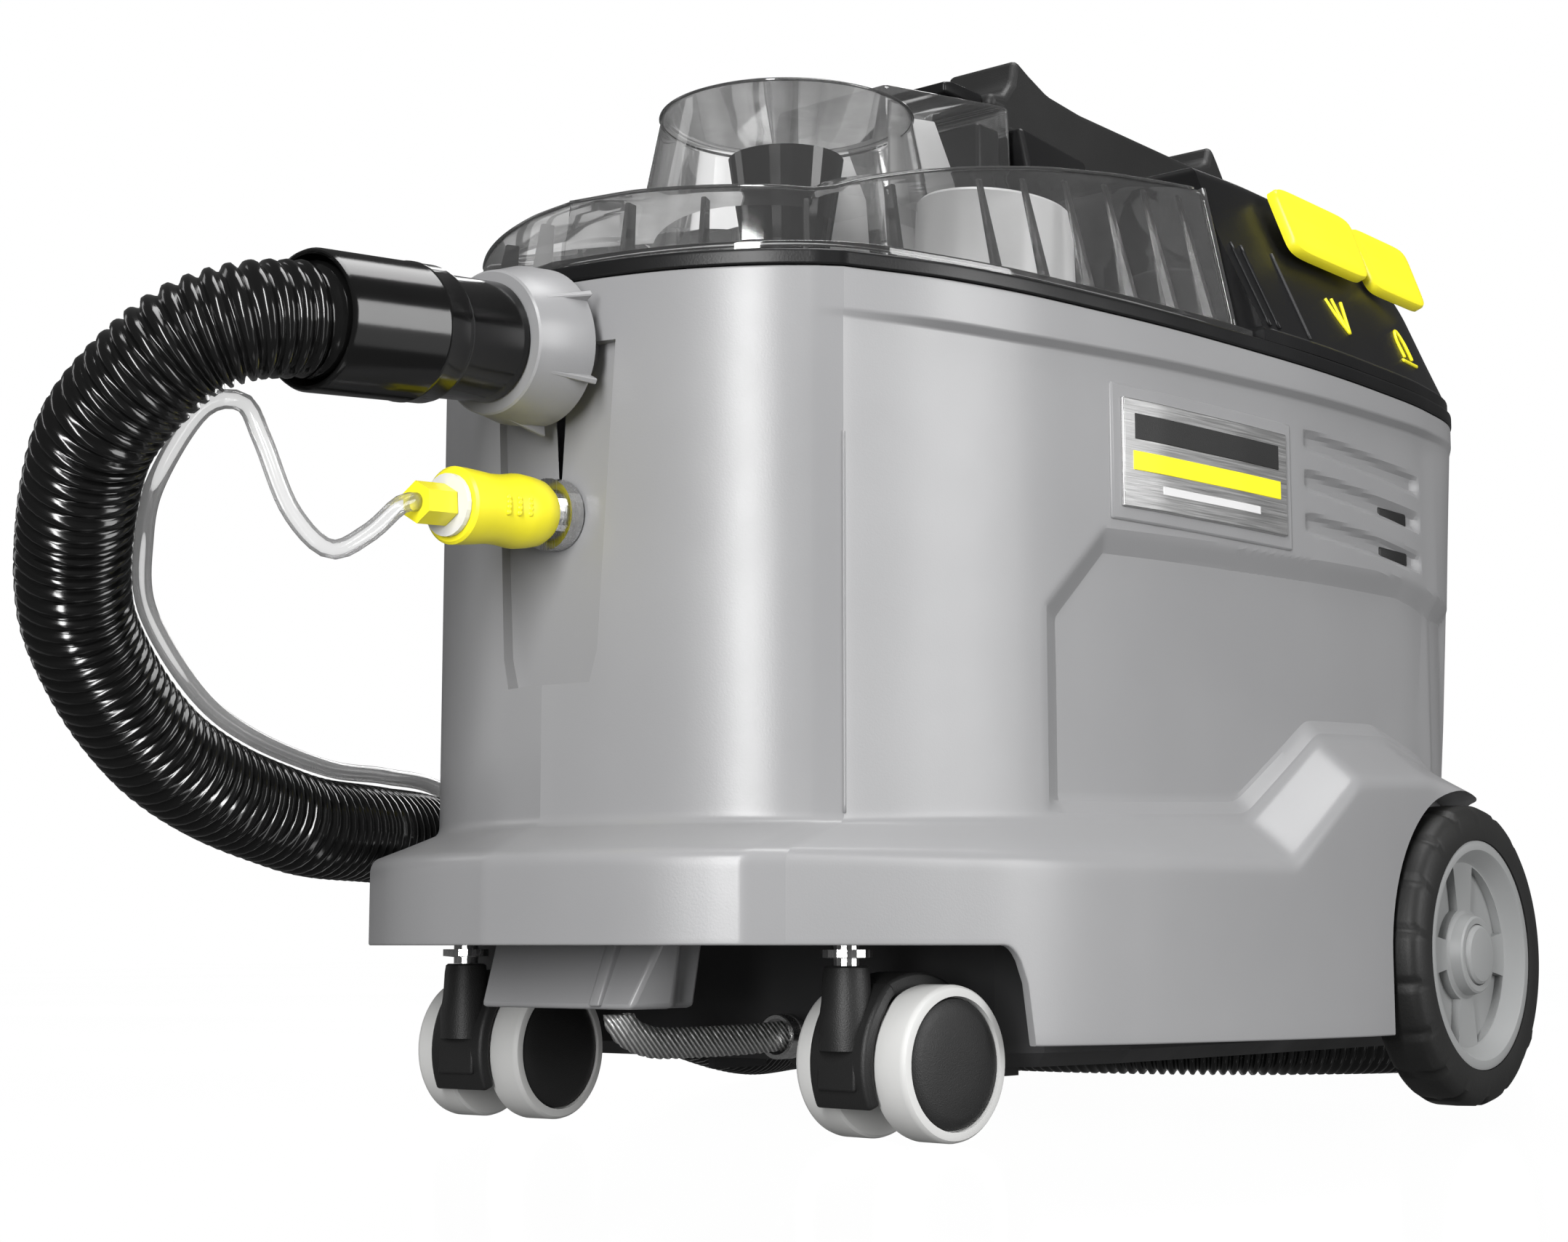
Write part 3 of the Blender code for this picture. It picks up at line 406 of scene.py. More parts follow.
def sweep(name, path, radii, sides=24, caps=True):
    """A tube along a path, with a radius at each point and frames that don't twist."""
    path = np.asarray(path, float)
    tang = np.gradient(path, axis=0)
    tang /= np.linalg.norm(tang, axis=1)[:, None]
    normal = np.cross(tang[0], (0, 0, 1.0))
    normal /= np.linalg.norm(normal)
    angles = np.linspace(0, 2 * math.pi, sides, endpoint=False)
    points = []
    for i in range(len(path)):
        normal = normal - tang[i] * normal.dot(tang[i])
        normal /= np.linalg.norm(normal)
        side = np.cross(tang[i], normal)
        r = radii[i] if hasattr(radii, "__len__") else radii
        for a in angles:
            points.append(path[i] + r * (math.cos(a) * normal + math.sin(a) * side))
    faces = grid_faces(len(path), sides)
    if caps:
        faces.append(tuple(range(sides))[::-1])
        faces.append(tuple(range((len(path) - 1) * sides, len(path) * sides)))
    return mesh_of(name, points, faces)


def lathe(name, profile, steps=48, at=(0, 0, 0), rot=None):
    """A turned surface round local Z from (radius, height) points."""
    points = []
    for r, z in profile:
        for k in range(steps):
            a = 2 * math.pi * k / steps
            points.append((r * math.cos(a), r * math.sin(a), z))
    mesh = bpy.data.meshes.new(name)
    mesh.from_pydata([tuple(c * MM for c in p) for p in points], [], grid_faces(len(profile), steps))
    obj = facing_out(bpy.data.objects.new(name, mesh), WELD)
    obj.matrix_world = Matrix.Translation(pt(at)) @ (rot.to_4x4() if rot is not None else Matrix())
    return obj


def axis_turn(direction):
    """Rotation taking local +Z to a direction."""
    return Vector((0, 0, 1)).rotation_difference(Vector(direction).normalized()).to_matrix()


def along(start, tilt, t):
    a = math.radians(tilt)
    return (start[0], start[1] - math.cos(a) * t, start[2] - math.sin(a) * t)


def front_turn(tilt):
    a = math.radians(tilt)
    return axis_turn((0, -math.cos(a), -math.sin(a)))


def bevel(obj, width, segments=2, angle=35):
    mod = obj.modifiers.new("bevel", "BEVEL")
    mod.width = width * MM
    mod.segments = segments
    mod.limit_method = "ANGLE"
    mod.angle_limit = math.radians(angle)
    mod.harden_normals = False
    return obj


def prism(name, outline, axis, low, high):
    """A flat outline carried from low to high along x, y or z; outline is in the other two axes."""
    points = []
    for level in (low, high):
        for a, b in outline:
            points.append({"x": (level, a, b), "y": (a, level, b), "z": (a, b, level)}[axis])
    n = len(outline)
    faces = [tuple(range(n)), tuple(range(n, 2 * n))[::-1]]
    for i in range(n):
        j = (i + 1) % n
        faces.append((i, i + n, j + n, j))
    return facing_out(mesh_of(name, points, faces))


def block(name, low, high, width=0.6, segments=2):
    outline = [(low[1], low[2]), (high[1], low[2]), (high[1], high[2]), (low[1], high[2])]
    return bevel(prism(name, outline, "x", low[0], high[0]), width, segments)


# ---------------------------------------------------------------- cords
PORT, PORT_TILT = (0.0, -80.0, 266.5), 5.3
SOCKET, SOCKET_TILT = (0.0, -74.0, 209.7), 3.6
COIL_X, COIL_Y = -130.0, 560.0
HOSE_R, TUBE_R = 18.5, 3.15
HOSE_ROUTE = [
    along(PORT, PORT_TILT, 91.0), along(PORT, PORT_TILT, 97), along(PORT, PORT_TILT, 104),
    (-6, -201, 254), (-17, -213, 248), (-29, -220, 238), (-43, -223, 227), (-54, -222, 218),
    (-65, -218, 206), (-76, -212, 194), (-86, -205, 180), (-95, -195, 166), (-104, -176, 148),
    (-110, -157, 134), (-114, -140, 125), (-118, -118, 117), (-122, -93, 111), (-126, -69, 107),
    (-137, -29, 106), (-156, 18, 104), (-178, 75, 88), (-190, 140, 60), (-200, 205, 35),
    (-209, 270, 20.5), (-228, 330, 19.2), (-251, 366, 19.0), (-285, 425, 19.0),
]


def wound(turns, pitch, end_r, last, z):
    """The coiled stretch: a flat spiral that draws in at its end."""
    out = []
    count = round(turns * 24)
    for i in range(count + 1):
        t = turns * i / count
        s = min(1, max(0, (t - (turns - last)) / last))
        r = 185 - pitch * t - (185 - pitch * turns - end_r) * s * s
        a = math.radians(-160) - 2 * math.pi * t
        out.append((COIL_X + r * math.cos(a), COIL_Y + r * math.sin(a), z))
    return out


hose_line, hose_len = catmull(HOSE_ROUTE + wound(1.635, 37, 102, 0.5, 19.0), 0.62)
run = np.linspace(0, hose_len, len(hose_line))
PITCH_MM = 4.9
rib = 0.5 + 0.5 * np.cos(2 * math.pi * run / PITCH_MM)
radii = 16.2 + 2.3 * np.clip(rib * 1.25, 0, 1) ** 0.8
sides = 28
hose = link(sweep("suction_hose_skin", hose_line, radii, sides), "chassis", black_gloss,
            replaces=("suction_hose", "suction_hose_coil"))
nodes = frame["nodes"]


def beside(point, toward):
    d = np.array(toward, float)
    return tuple(np.array(point, float) + d / np.linalg.norm(d) * (TUBE_R + HOSE_R + 1.0))


SPRAY_ROUTE = [
    along(SOCKET, SOCKET_TILT, 61.5), along(SOCKET, SOCKET_TILT, 64.2), (-1, -143, 203.4), (-4, -152.5, 194),
    (-8, -165, 187.7), (-14, -176, 199.4), (-18, -184.6, 221), (-23, -189, 233.0), (-33, -197, 230.5),
    beside((-54, -221, 217), (0.15, 1.0, -0.35)), beside((-76, -212, 194), (0.3, 1.0, 0.0)),
    beside((-95, -195, 166), (0.4, 0.9, 0.35)), beside((-110, -157, 134), (0.5, 0.6, 0.75)),
    beside((-118, -118, 117), (0.45, 0.2, 0.9)), beside((-126, -69, 107), (0.3, 0.0, 1.0)),
    beside((-137, -29, 106), (0.1, 0.1, 1.0)), beside((-156, 18, 104), (0.0, 0.15, 1.0)),
    beside((-178, 75, 88), (0, 0.4, 1.0)), beside((-190, 140, 60), (0, 0.4, 1.0)),
    beside((-200, 205, 35), (0, 0.3, 1.0)), beside((-209, 270, 20.5), (0, 0.1, 1.0)),
    beside((-228, 330, 19.2), (0, 0, 1.0)), beside((-251, 366, 19.0), (0, 0, 1.0)),
    beside((-285, 425, 19.0), (0, 0, 1.0)),
]
spray_line, spray_len = catmull(SPRAY_ROUTE + wound(1.435, 14, 148, 0.3, 41.4), 3.5)
spray = link(sweep("spray_tube_skin", spray_line, TUBE_R, 18), "chassis", clear_tube,
             replaces=("spray_hose", "spray_hose_coil"))


# ---------------------------------------------------------------- tub
RIM_HALF = [
    (0, -78), (28, -73), (54, -64), (78, -50), (89, -41), (95.5, -34), (112, 2), (121, 32), (128, 67),
    (134.5, 106), (140, 155), (144, 205), (145, 260), (143, 308), (136, 345), (117, 375), (84, 393),
    (42, 400), (0, 402),
]
SKIRT_HALF = [
    (0, -104), (32, -100), (60, -91), (77, -82), (86.8, -76), (96.5, -66), (121, -10), (131, 14), (144, 67),
    (151, 106), (157.5, 155), (161, 200), (162, 260), (162, 308), (140, 330), (118, 362), (84, 380),
    (42, 386), (0, 388),
]
SKIRT_LOW_Z = [63.9] * 7 + [31.0, 30.5, 30.3, 30.0, 29.8, 29.8, 45, 48, 48, 48, 48, 48]
SKIRT_TOP_Z = [93.4] * 11 + [126, 129, 122, 93.4, 93.4, 93.4, 93.4, 93.4]
CREASE_Z = [104.0] * 6 + [105, 106, 107, 108, 110, 143, 145, 134, 112, 108, 108, 108, 108]
BAND_Z = [272.0] * 8 + [273, 274, 275, 276, 277, 278, 278, 278, 278, 278, 278]
SIDE = [0.0] * 5 + [1.0] + [3.5] * 8 + [1.0] + [0.0] * 4
REAR_IN = [0.0] * 14 + [8.0, 13.0, 14.0, 14.0, 14.0]
RIM_Z, LID_Z = 289.0, 295.3
AXLE_Y, AXLE_Z, ARCH_R = 287.8, 60.2, 66


BREAKS = (0, 4, 5, 18)
STEPS = [max(2, round(math.dist(a, b) / 1.9)) for a, b in zip(RIM_HALF, RIM_HALF[1:])]


def dense(half, extra):
    """A half outline drawn smoothly through its points, with sharp corners at the breaks, then mirrored."""
    pts = np.array(half, float)
    knots = np.concatenate([[0], np.cumsum(np.linalg.norm(np.diff(pts, axis=0), axis=1))])
    at = np.concatenate([np.linspace(knots[i], knots[i + 1], n, endpoint=False) for i, n in enumerate(STEPS)])
    at = np.append(at, knots[-1])
    x, y = np.empty(len(at)), np.empty(len(at))
    for low, high in zip(BREAKS, BREAKS[1:]):
        part = (at >= knots[low] - 1e-9) & (at <= knots[high] + 1e-9)
        x[part] = spline(knots[low:high + 1], pts[low:high + 1, 0], at[part])
        y[part] = spline(knots[low:high + 1], pts[low:high + 1, 1], at[part])
    x[0] = x[-1] = 0
    values = [np.interp(at, knots, np.array(e, float)) for e in extra]
    soft = np.hanning(9) / np.hanning(9).sum()
    values = [np.convolve(np.pad(v, 4, "edge"), soft, "valid") for v in values]
    ring = np.stack([x, y], 1)
    other = ring[1:-1][::-1] * (-1, 1)
    return np.concatenate([ring, other]), [np.concatenate([v, v[1:-1][::-1]]) for v in values]


def drawn_in(ring, amount):
    """The outline moved inwards."""
    before, after = np.roll(ring, 1, 0), np.roll(ring, -1, 0)
    t = after - before
    t /= np.linalg.norm(t, axis=1)[:, None]
    n = np.stack([-t[:, 1], t[:, 0]], 1)
    return ring + n * (np.asarray(amount).reshape(-1, 1) if hasattr(amount, "__len__") else amount)


def lift(ring, z):
    z = np.full(len(ring), float(z)) if not hasattr(z, "__len__") else np.asarray(z, float)
    return np.concatenate([ring, z[:, None]], 1)


def filleted(levels, rounds, spans):
    """Rings through levels, each inner level rounded by its radius, each span cut into parts."""
    out = [levels[0]]
    for i in range(1, len(levels)):
        start, end = out[-1], levels[i]
        r = rounds[i] if i < len(levels) - 1 else 0
        if r:
            a = levels[i] - levels[i - 1]
            b = levels[i + 1] - levels[i]
            la, lb = np.linalg.norm(a, axis=1)[:, None], np.linalg.norm(b, axis=1)[:, None]
            la, lb = np.maximum(la, 1e-6), np.maximum(lb, 1e-6)
            ra = np.minimum(r, la * 0.45)
            rb = np.minimum(r, lb * 0.45)
            first, last = levels[i] - a / la * ra, levels[i] + b / lb * rb
            for k in range(1, spans[i - 1] + 1):
                out.append(start + (first - start) * k / spans[i - 1])
            for k in range(1, 8):
                t = k / 7
                out.append((1 - t) ** 2 * first + 2 * t * (1 - t) * levels[i] + t * t * last)
        else:
            for k in range(1, spans[i - 1] + 1):
                out.append(start + (end - start) * k / spans[i - 1])
    return out


rim, (side_in, rear_in, band_z) = dense(RIM_HALF, (SIDE, REAR_IN, BAND_Z))
skirt, (skirt_low, skirt_top, crease_z) = dense(SKIRT_HALF, (SKIRT_LOW_Z, SKIRT_TOP_Z, CREASE_Z))
arch = np.clip((skirt[:, 1] - 8) / 11.0, 0, 1)
skirt_low = np.where(skirt[:, 1] < 19.2, 63.9 - 33 * (1 - np.sqrt(np.maximum(1 - arch * arch, 0))), skirt_low)
lower = drawn_in(rim, np.maximum(side_in, rear_in))
levels = [
    lift(drawn_in(lower, 8.5), 108), lift(drawn_in(skirt, 6.0), np.minimum(skirt_top - 4, 104)),
    lift(drawn_in(skirt, 3.5), skirt_low), lift(skirt, skirt_low), lift(skirt, skirt_top),
    lift(lower, crease_z),
    lift(drawn_in(rim, side_in), band_z), lift(rim, band_z + 2.5), lift(rim, RIM_Z),
    lift(drawn_in(rim, 7.0), RIM_Z), lift(drawn_in(rim, 9.0), 116.0),
]
grid = filleted(levels, [0, 0, 0.8, 0.8, 4.5, 3.5, 0.8, 0.8, 1.0, 0, 0], [2, 4, 1, 16, 6, 90, 1, 4, 1, 2])
grid = np.array(grid)


def inside_poly(y, z, poly):
    """Signed distance to a polygon in the side view, positive inside."""
    poly = np.array(poly, float)
    best = np.full(y.shape, 1e9)
    odd = np.zeros(y.shape, bool)
    for (y0, z0), (y1, z1) in zip(poly, np.roll(poly, -1, 0)):
        dy, dz = y1 - y0, z1 - z0
        t = np.clip(((y - y0) * dy + (z - z0) * dz) / (dy * dy + dz * dz), 0, 1)
        best = np.minimum(best, np.hypot(y - y0 - t * dy, z - z0 - t * dz))
        cross = (z0 > z) != (z1 > z)
        with np.errstate(divide="ignore", invalid="ignore"):
            odd ^= cross & (y < (y1 - y0) * (z - z0) / (z1 - z0) + y0)
    return np.where(odd, best, -best)


def step(x):
    x = np.clip(x, 0, 1)
    return x * x * (3 - 2 * x)


LOW_FIELD = [(47, 60), (47, 181), (77, 211), (285, 215), (352, 208), (352, 60)]
flank = slice(36, 148)
block_pts = grid[flank]
gx, gy, gz = block_pts[:, :, 0], block_pts[:, :, 1], block_pts[:, :, 2]
on_side = (np.abs(gx) > 96) & (gz > 109)
drop = 5.0 * np.clip(inside_poly(gy, gz, LOW_FIELD) / 9.0, 0, 1)
for z0, z1 in ((261, 256), (245, 240), (228, 223)):
    mid = z0 + (z1 - z0) * (gy - 204) / 96
    along_y = step((gy - 200) / 6) * step((304 - gy) / 6)
    drop += 2.6 * step((4.6 - np.abs(gz - mid)) / 3.0) * along_y
drop *= np.clip((gz - crease_z[None, :] - 2.5) / 5.0, 0, 1)
drop = np.where(on_side, drop, 0)
tangent = np.roll(block_pts, -1, 1) - np.roll(block_pts, 1, 1)
normal = np.stack([-tangent[:, :, 1], tangent[:, :, 0]], 2)
normal /= np.linalg.norm(normal, axis=2)[:, :, None]
grid[flank, :, :2] += normal * drop[:, :, None]


def cut(target, cutter):
    """The target's mesh with a helper cut from it, which is then removed."""
    for obj in (cutter, target):
        if obj.name not in scene.collection.objects:
            scene.collection.objects.link(obj)
    bpy.context.view_layer.update()
    mod = target.modifiers.new("cut", "BOOLEAN")
    mod.operation = "DIFFERENCE"
    mod.solver = "EXACT"
    mod.object = cutter
    bpy.context.view_layer.update()
    graph = bpy.context.evaluated_depsgraph_get()
    made = bpy.data.meshes.new_from_object(target.evaluated_get(graph))
    target.modifiers.clear()
    target.data = made
    bpy.data.objects.remove(cutter, do_unlink=True)
    return target


shell = solid("tub_skin", list(grid))
for sign in (1, -1):
    low, high = sorted((sign * 141.6, sign * 200))
    well = [(AXLE_Y - ARCH_R, 10), (AXLE_Y + ARCH_R, 10)]
    well += [(AXLE_Y + ARCH_R * math.cos(a), AXLE_Z + ARCH_R * math.sin(a))
             for a in np.linspace(0, math.pi, 40)]
    cut(shell, prism("well", well, "x", low, high))
recess = solid("recess", [
    [(-19, -70, 151), (19, -70, 151), (20, -120, 151), (-20, -120, 151)],
    [(-22, -70, 162), (22, -70, 162), (23, -120, 162), (-23, -120, 162)],
    [(-28, -70, 267), (28, -70, 267), (29, -120, 267), (-29, -120, 267)]])
cut(shell, recess)
bead_rows = grid[56:128:2, sum(STEPS[:5])]
link(sweep("corner_bead_right", bead_rows, 0.55, 8), "chassis", grey_plastic)
link(sweep("corner_bead_left", bead_rows * (-1, 1, 1), 0.55, 8), "chassis", grey_plastic)
link(shell, "chassis", grey_plastic, replaces=("housing_shell",), auto=16)

seal_out, seal_in = drawn_in(rim, -0.5), drawn_in(rim, 5.2)
seal_levels = [lift(seal_in, 289.4), lift(seal_out, 289.4), lift(seal_out, 294.9), lift(seal_in, 294.9),
               lift(seal_in, 289.4)]
seal = rings_object("seal_skin", filleted(seal_levels, [0, 0.8, 1.6, 0, 0], [1, 2, 1, 1]))
link(facing_out(seal), "chassis", black_plastic, replaces=("seal_band",), auto=40)

# Dark slots at the rear of the grooves
for sign, tag in SIDES:
    for k, z in enumerate((240.0, 223.5)):
        ends = sorted((sign * 136.5, sign * 139.4))
        link(block(f"vent_slot_{tag}_{k}", (ends[0], 266, z - 3.1), (ends[1], 292, z + 3.1), 1.2, 2),
             "chassis", black_fine)


# ---------------------------------------------------------------- lid
lid_half = [(0, -76), (28, -71), (53.4, -62.2), (76.8, -48.5), (87.6, -39.7), (93.8, -33), (110.1, 2.8),
            (119, 32.6), (126, 67.4), (132.4, 106.4), (137.9, 152), (138.4, 165.8)]
LID_TOP_Z = [322.0, 322, 321, 320, 319, 320, 331, 338, 345, 351, 356, 357.5]
LEAN = [4.0, 4, 4, 4, 4, 4, 6, 8, 10, 12, 13, 13]


def lid_dense(count):
    pts = np.array(lid_half, float)
    knots = np.concatenate([[0], np.cumsum(np.linalg.norm(np.diff(pts, axis=0), axis=1))])
    at = np.linspace(0, knots[-1], count)
    ring = np.stack([spline(knots, pts[:, 0], at), spline(knots, pts[:, 1], at)], 1)
    top, lean = np.interp(at, knots, LID_TOP_Z), np.interp(at, knots, LEAN)
    tangent = np.gradient(ring, axis=0)
    tangent /= np.linalg.norm(tangent, axis=1)[:, None]
    inward = np.stack([-tangent[:, 1], tangent[:, 0]], 1)
    back = [(x, 165.8) for x in np.linspace(ring[-1, 0], 0, 14)[1:]]
    fade = np.concatenate([np.ones(count), np.zeros(len(back))])
    ring = np.concatenate([ring, back])
    inward = np.concatenate([inward, np.zeros((len(back), 2))])
    top = np.concatenate([top, np.full(len(back), 357.5)])
    lean = np.concatenate([lean, np.full(len(back), 13.0)])
    return ring, inward, top, lean, fade


lring, linward, ltop, llean, lfade = lid_dense(80)


def lid_level(amount, z):
    amount = np.asarray(amount, float) * np.ones(len(lring))
    p = lring + linward * amount[:, None]
    scale = np.where(lfade > 0, 1, (lring[80 - 1, 0] - amount[79]) / lring[80 - 1, 0])
    p[:, 0] *= scale
    p[:, 1] = np.minimum(p[:, 1], 165.8)
    z = np.asarray(z, float) * np.ones(len(lring))
    half = np.concatenate([p, z[:, None]], 1)
    return np.concatenate([half, half[1:-1][::-1] * (-1, 1, 1)])


wall = 7.5
levels = [
    lid_level(0, LID_Z), lid_level(0, LID_Z + 2.8), lid_level(wall, LID_Z + 2.9),
    lid_level(wall + llean, ltop), lid_level(wall + llean + 12, ltop + 3.5),
    lid_level(wall + llean + 34, ltop + 8),
]
lid_rings = filleted(levels, [0, 0.8, 1.0, 2.5, 3, 0], [1, 2, 12, 4, 4])
top_ring = lid_rings[-1]
centre = np.array([0.0, 66.0, 344.0])
for k in range(1, 9):
    t = k / 9
    mixed = top_ring + (centre - top_ring) * t
    mixed[:, 2] = top_ring[:, 2] * (1 - t) + (top_ring[:, 2] * 0.35 + 0.65 * 348) * t
    lid_rings.append(mixed)
lid_solid = facing_out(rings_object("lid_skin", lid_rings, False, True))
bm = bmesh.new()
bm.from_mesh(lid_solid.data)
gone = []
for face in bm.faces:
    at = face.calc_center_median() / MM
    y = at.y - SHIFT
    if at.z > 324 and (math.hypot(at.x, y - 52.4) < 52 or (abs(at.x) < 28.5 and y > 60)):
        gone.append(face)
bmesh.ops.delete(bm, geom=gone, context="FACES")
bm.to_mesh(lid_solid.data)
bm.free()
link(lid_solid, "lid", clear_lid, replaces=("lid_cover",), auto=26)
dome = lathe("lid_dome", [(57.4, 336), (57.0, 338), (48.9, 379.5), (48.2, 381.3), (46.8, 382.5),
                          (44, 382.7), (20, 382.8), (0, 382.8)], 96, (0, 52.4, 0))
link(facing_out(dome), "lid", clear_lid, auto=40)
ridge = rings_object("lid_ridge", [
    [(-30.5, 68, 342), (30.5, 68, 342), (30.5, 165.4, 342), (-30.5, 165.4, 342)],
    [(-28, 80, 398), (28, 80, 398), (28, 165.4, 411), (-28, 165.4, 411)]], False, True)
link(bevel(ridge, 3.0, 4, 30), "lid", clear_lid, auto=40)


def lid_fin(name, sign, i, half, low_reach, high_reach, top_drop, width):
    """An upright fin on the lid's wall at one place along it, reaching in or, below zero, out."""
    foot, tip = levels[2][i], levels[3][i]
    n = np.array([linward[i][0], linward[i][1], 0])
    t = np.array([-n[1], n[0], 0]) * half
    rows = []
    for p, reach in ((foot + (0, 0, 1), low_reach), (tip - (0, 0, top_drop), high_reach)):
        corners = (p - t + n, p + t + n, p + t + n * reach, p - t + n * reach)
        rows.append([(sign * x, y, z) for x, y, z in corners])
    link(bevel(solid(name, rows), width, 1), "lid", clear_edge_painted_shade, smooth=False)


for sign, tag in SIDES:
    for k, i in enumerate(range(44, 78, 6)):
        lid_fin(f"lid_rib_{tag}_{k}", sign, i, 1.1, -3.4, -0.8, 4, 0.4)
# Thin tubes in the darkened clear material along the lid's upper edge, its foot and the dome's rim are dark
# lines of painted shade where the clear shell's edges look dark; the bars at the rear edge give it its
# thickness in the same painted shade.
front_part = np.concatenate([levels[3][-79:], levels[3][:80]])
link(sweep("lid_upper_edge", front_part[2:-2], 0.7, 8), "lid", clear_edge_painted_shade)
foot_part = np.concatenate([levels[2][-79:], levels[2][:80]])
link(sweep("lid_foot_edge", foot_part[2:-2] + (0, 0, 0.3), 0.6, 8), "lid", clear_edge_painted_shade)
ring = [(48.9 * math.cos(a), 52.4 + 48.9 * math.sin(a), 381.0) for a in np.linspace(0, 2 * math.pi, 90)]
link(sweep("dome_edge", ring, 0.6, 8, False), "lid", clear_edge_painted_shade)
rear_low, rear_high = levels[2][79] + (0, -0.8, 0), levels[3][79] + (0, -0.8, 0)
for sign, name in ((1, "lid_rear_bar"), (-1, "lid_rear_bar_left")):
    bar = np.linspace(rear_low * (sign, 1, 1), rear_high * (sign, 1, 1), 12)
    link(sweep(name, bar, 1.5, 10), "lid", clear_edge_painted_shade)
for k, i in enumerate((6, 14, 24, 34)):
    for sign, tag in SIDES:
        lid_fin(f"front_fin_{k}_{tag[0]}", sign, i, 0.9, 9.0, 6.0, 3, 0.3)

# Pale drums standing on the separator plate
for sign, tag in SIDES:
    rows = []
    for z, grow in ((299, 0), (322, 0.6), (340, 1.4), (341.2, 2.6)):
        arc = [(sign * (70 + (27 - grow) * math.cos(a)), 92 + (38 - grow) * math.sin(a), z)
               for a in np.linspace(0, 2 * math.pi, 60, endpoint=False)]
        rows.append(arc)
    link(solid(f"inner_drum_{tag}", rows), "lid", white_plastic,
         auto=40)
# Pale walls inside the ridge, seen through the clear cover
for sign, tag in SIDES:
    outline = [(88, 318), (88, 388), (118, 393), (132, 372), (138, 318)]
    ends = sorted((sign * 23.5, sign * 22.0))
    link(bevel(prism("ridge_panel_" + tag, outline, "x", *ends), 0.5, 1), "lid", white_plastic)
link(block("ridge_back", (-25, 146, 330), (25, 162, 400), 2.0, 3), "lid", black_plastic)


# ---------------------------------------------------------------- motor head
def head_ring(half, z, amount=0.0, count=70):
    pts = np.array(half, float)
    flat_part = pts[:3]
    pts = pts[2:]
    knots = np.concatenate([[0], np.cumsum(np.linalg.norm(np.diff(pts, axis=0), axis=1))])
    at = np.linspace(0, knots[-1], count)
    ring = np.stack([spline(knots, pts[:, 0], at), spline(knots, pts[:, 1], at)], 1)
    ring[-1, 0] = 0
    front = [(x, 171.6) for x in np.linspace(0, flat_part[2][0], 16)[:-1]]
    half_ring = np.concatenate([front, ring])
    whole = np.concatenate([half_ring, half_ring[1:-1][::-1] * (-1, 1)])
    centre = np.array([0, 275.0])
    if amount:
        d = whole - centre
        whole = whole - d / np.linalg.norm(d, axis=1)[:, None] * amount
        whole[:, 1] = np.maximum(whole[:, 1], 171.8)
    return lift(whole, z)


head_low = [(0, 171.6), (90, 171.6), (141.2, 171.6), (144, 205), (145, 260), (143, 308), (136, 345),
            (117, 375), (84, 393), (42, 400), (0, 402)]
head_mid = [(0, 171.6), (80, 171.6), (121, 171.6), (125, 207), (126, 260), (124, 305), (117, 342),
            (100, 368), (72, 386), (36, 393), (0, 395)]
head_top = [(0, 171.6), (72, 171.6), (111.5, 171.6), (114.5, 207), (113.5, 260), (110, 300), (104, 333),
            (90, 356), (66, 373), (34, 380), (0, 382)]
head_levels = [
    head_ring(head_low, LID_Z, 1.0), head_ring(head_low, LID_Z + 4.5, 1.0),
    head_ring(head_low, LID_Z + 5.6, 2.4),
    head_ring(head_mid, 340), head_ring(head_top, 368), head_ring(head_top, 371.4, 6),
    head_ring(head_top, 371.6, 60),
]
head_rings = filleted(head_levels, [0, 0.6, 0.5, 5.0, 2.5, 1.0, 0], [2, 1, 18, 12, 2, 3])
head = solid("head_skin", head_rings)
link(head, "chassis", black_plastic, replaces=("head_cover",), auto=35)
hump = solid("head_hump", [
    [(-40, 171.8, 369.5), (40, 171.8, 369.5), (38, 227, 369.5), (-38, 227, 369.5)],
    [(-36, 171.8, 371.8), (36, 171.8, 371.8), (34, 227, 371.8), (-34, 227, 371.8)],
    [(-29, 171.8, 403.8), (29, 171.8, 403.8), (26, 226, 401.8), (-26, 226, 401.8)]])
link(bevel(hump, 3.0, 4, 25), "chassis", black_plastic)
seam = [(x, y, 300.4) for x, y, z in head_levels[2][16:86]]
link(sweep("head_seam", seam, 0.5, 6), "chassis", dark_under)

handle_side = [
    (166.2, 413), (172.5, 413), (172.5, 404.8), (227.6, 402.8), (229.5, 390), (242, 372.4), (255, 372.4),
    (251, 390), (258, 402), (322, 402), (329, 396), (332, 372.4), (380, 372.4), (386, 384), (383, 404),
    (366, 424), (356, 436), (350, 442.6), (346, 433), (338, 429.2), (330, 428), (236, 428), (210, 430),
    (196, 435), (185, 439.6), (182, 428), (176, 421), (166.2, 419.8)]
handle = prism("handle_skin", handle_side, "x", -18, 18)
link(bevel(handle, 3.6, 4, 12), "chassis", black_fine, replaces=("carry_handle",), auto=40)
latch_side = [(138, 413.1), (165.4, 413.1), (165.4, 419), (144, 419), (138, 417.4)]
latch = prism("latch_skin", latch_side, "x", -14, 14)
link(bevel(latch, 1.2, 3), nodes["latch_block"]["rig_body"], black_plastic, replaces=("latch_block",))


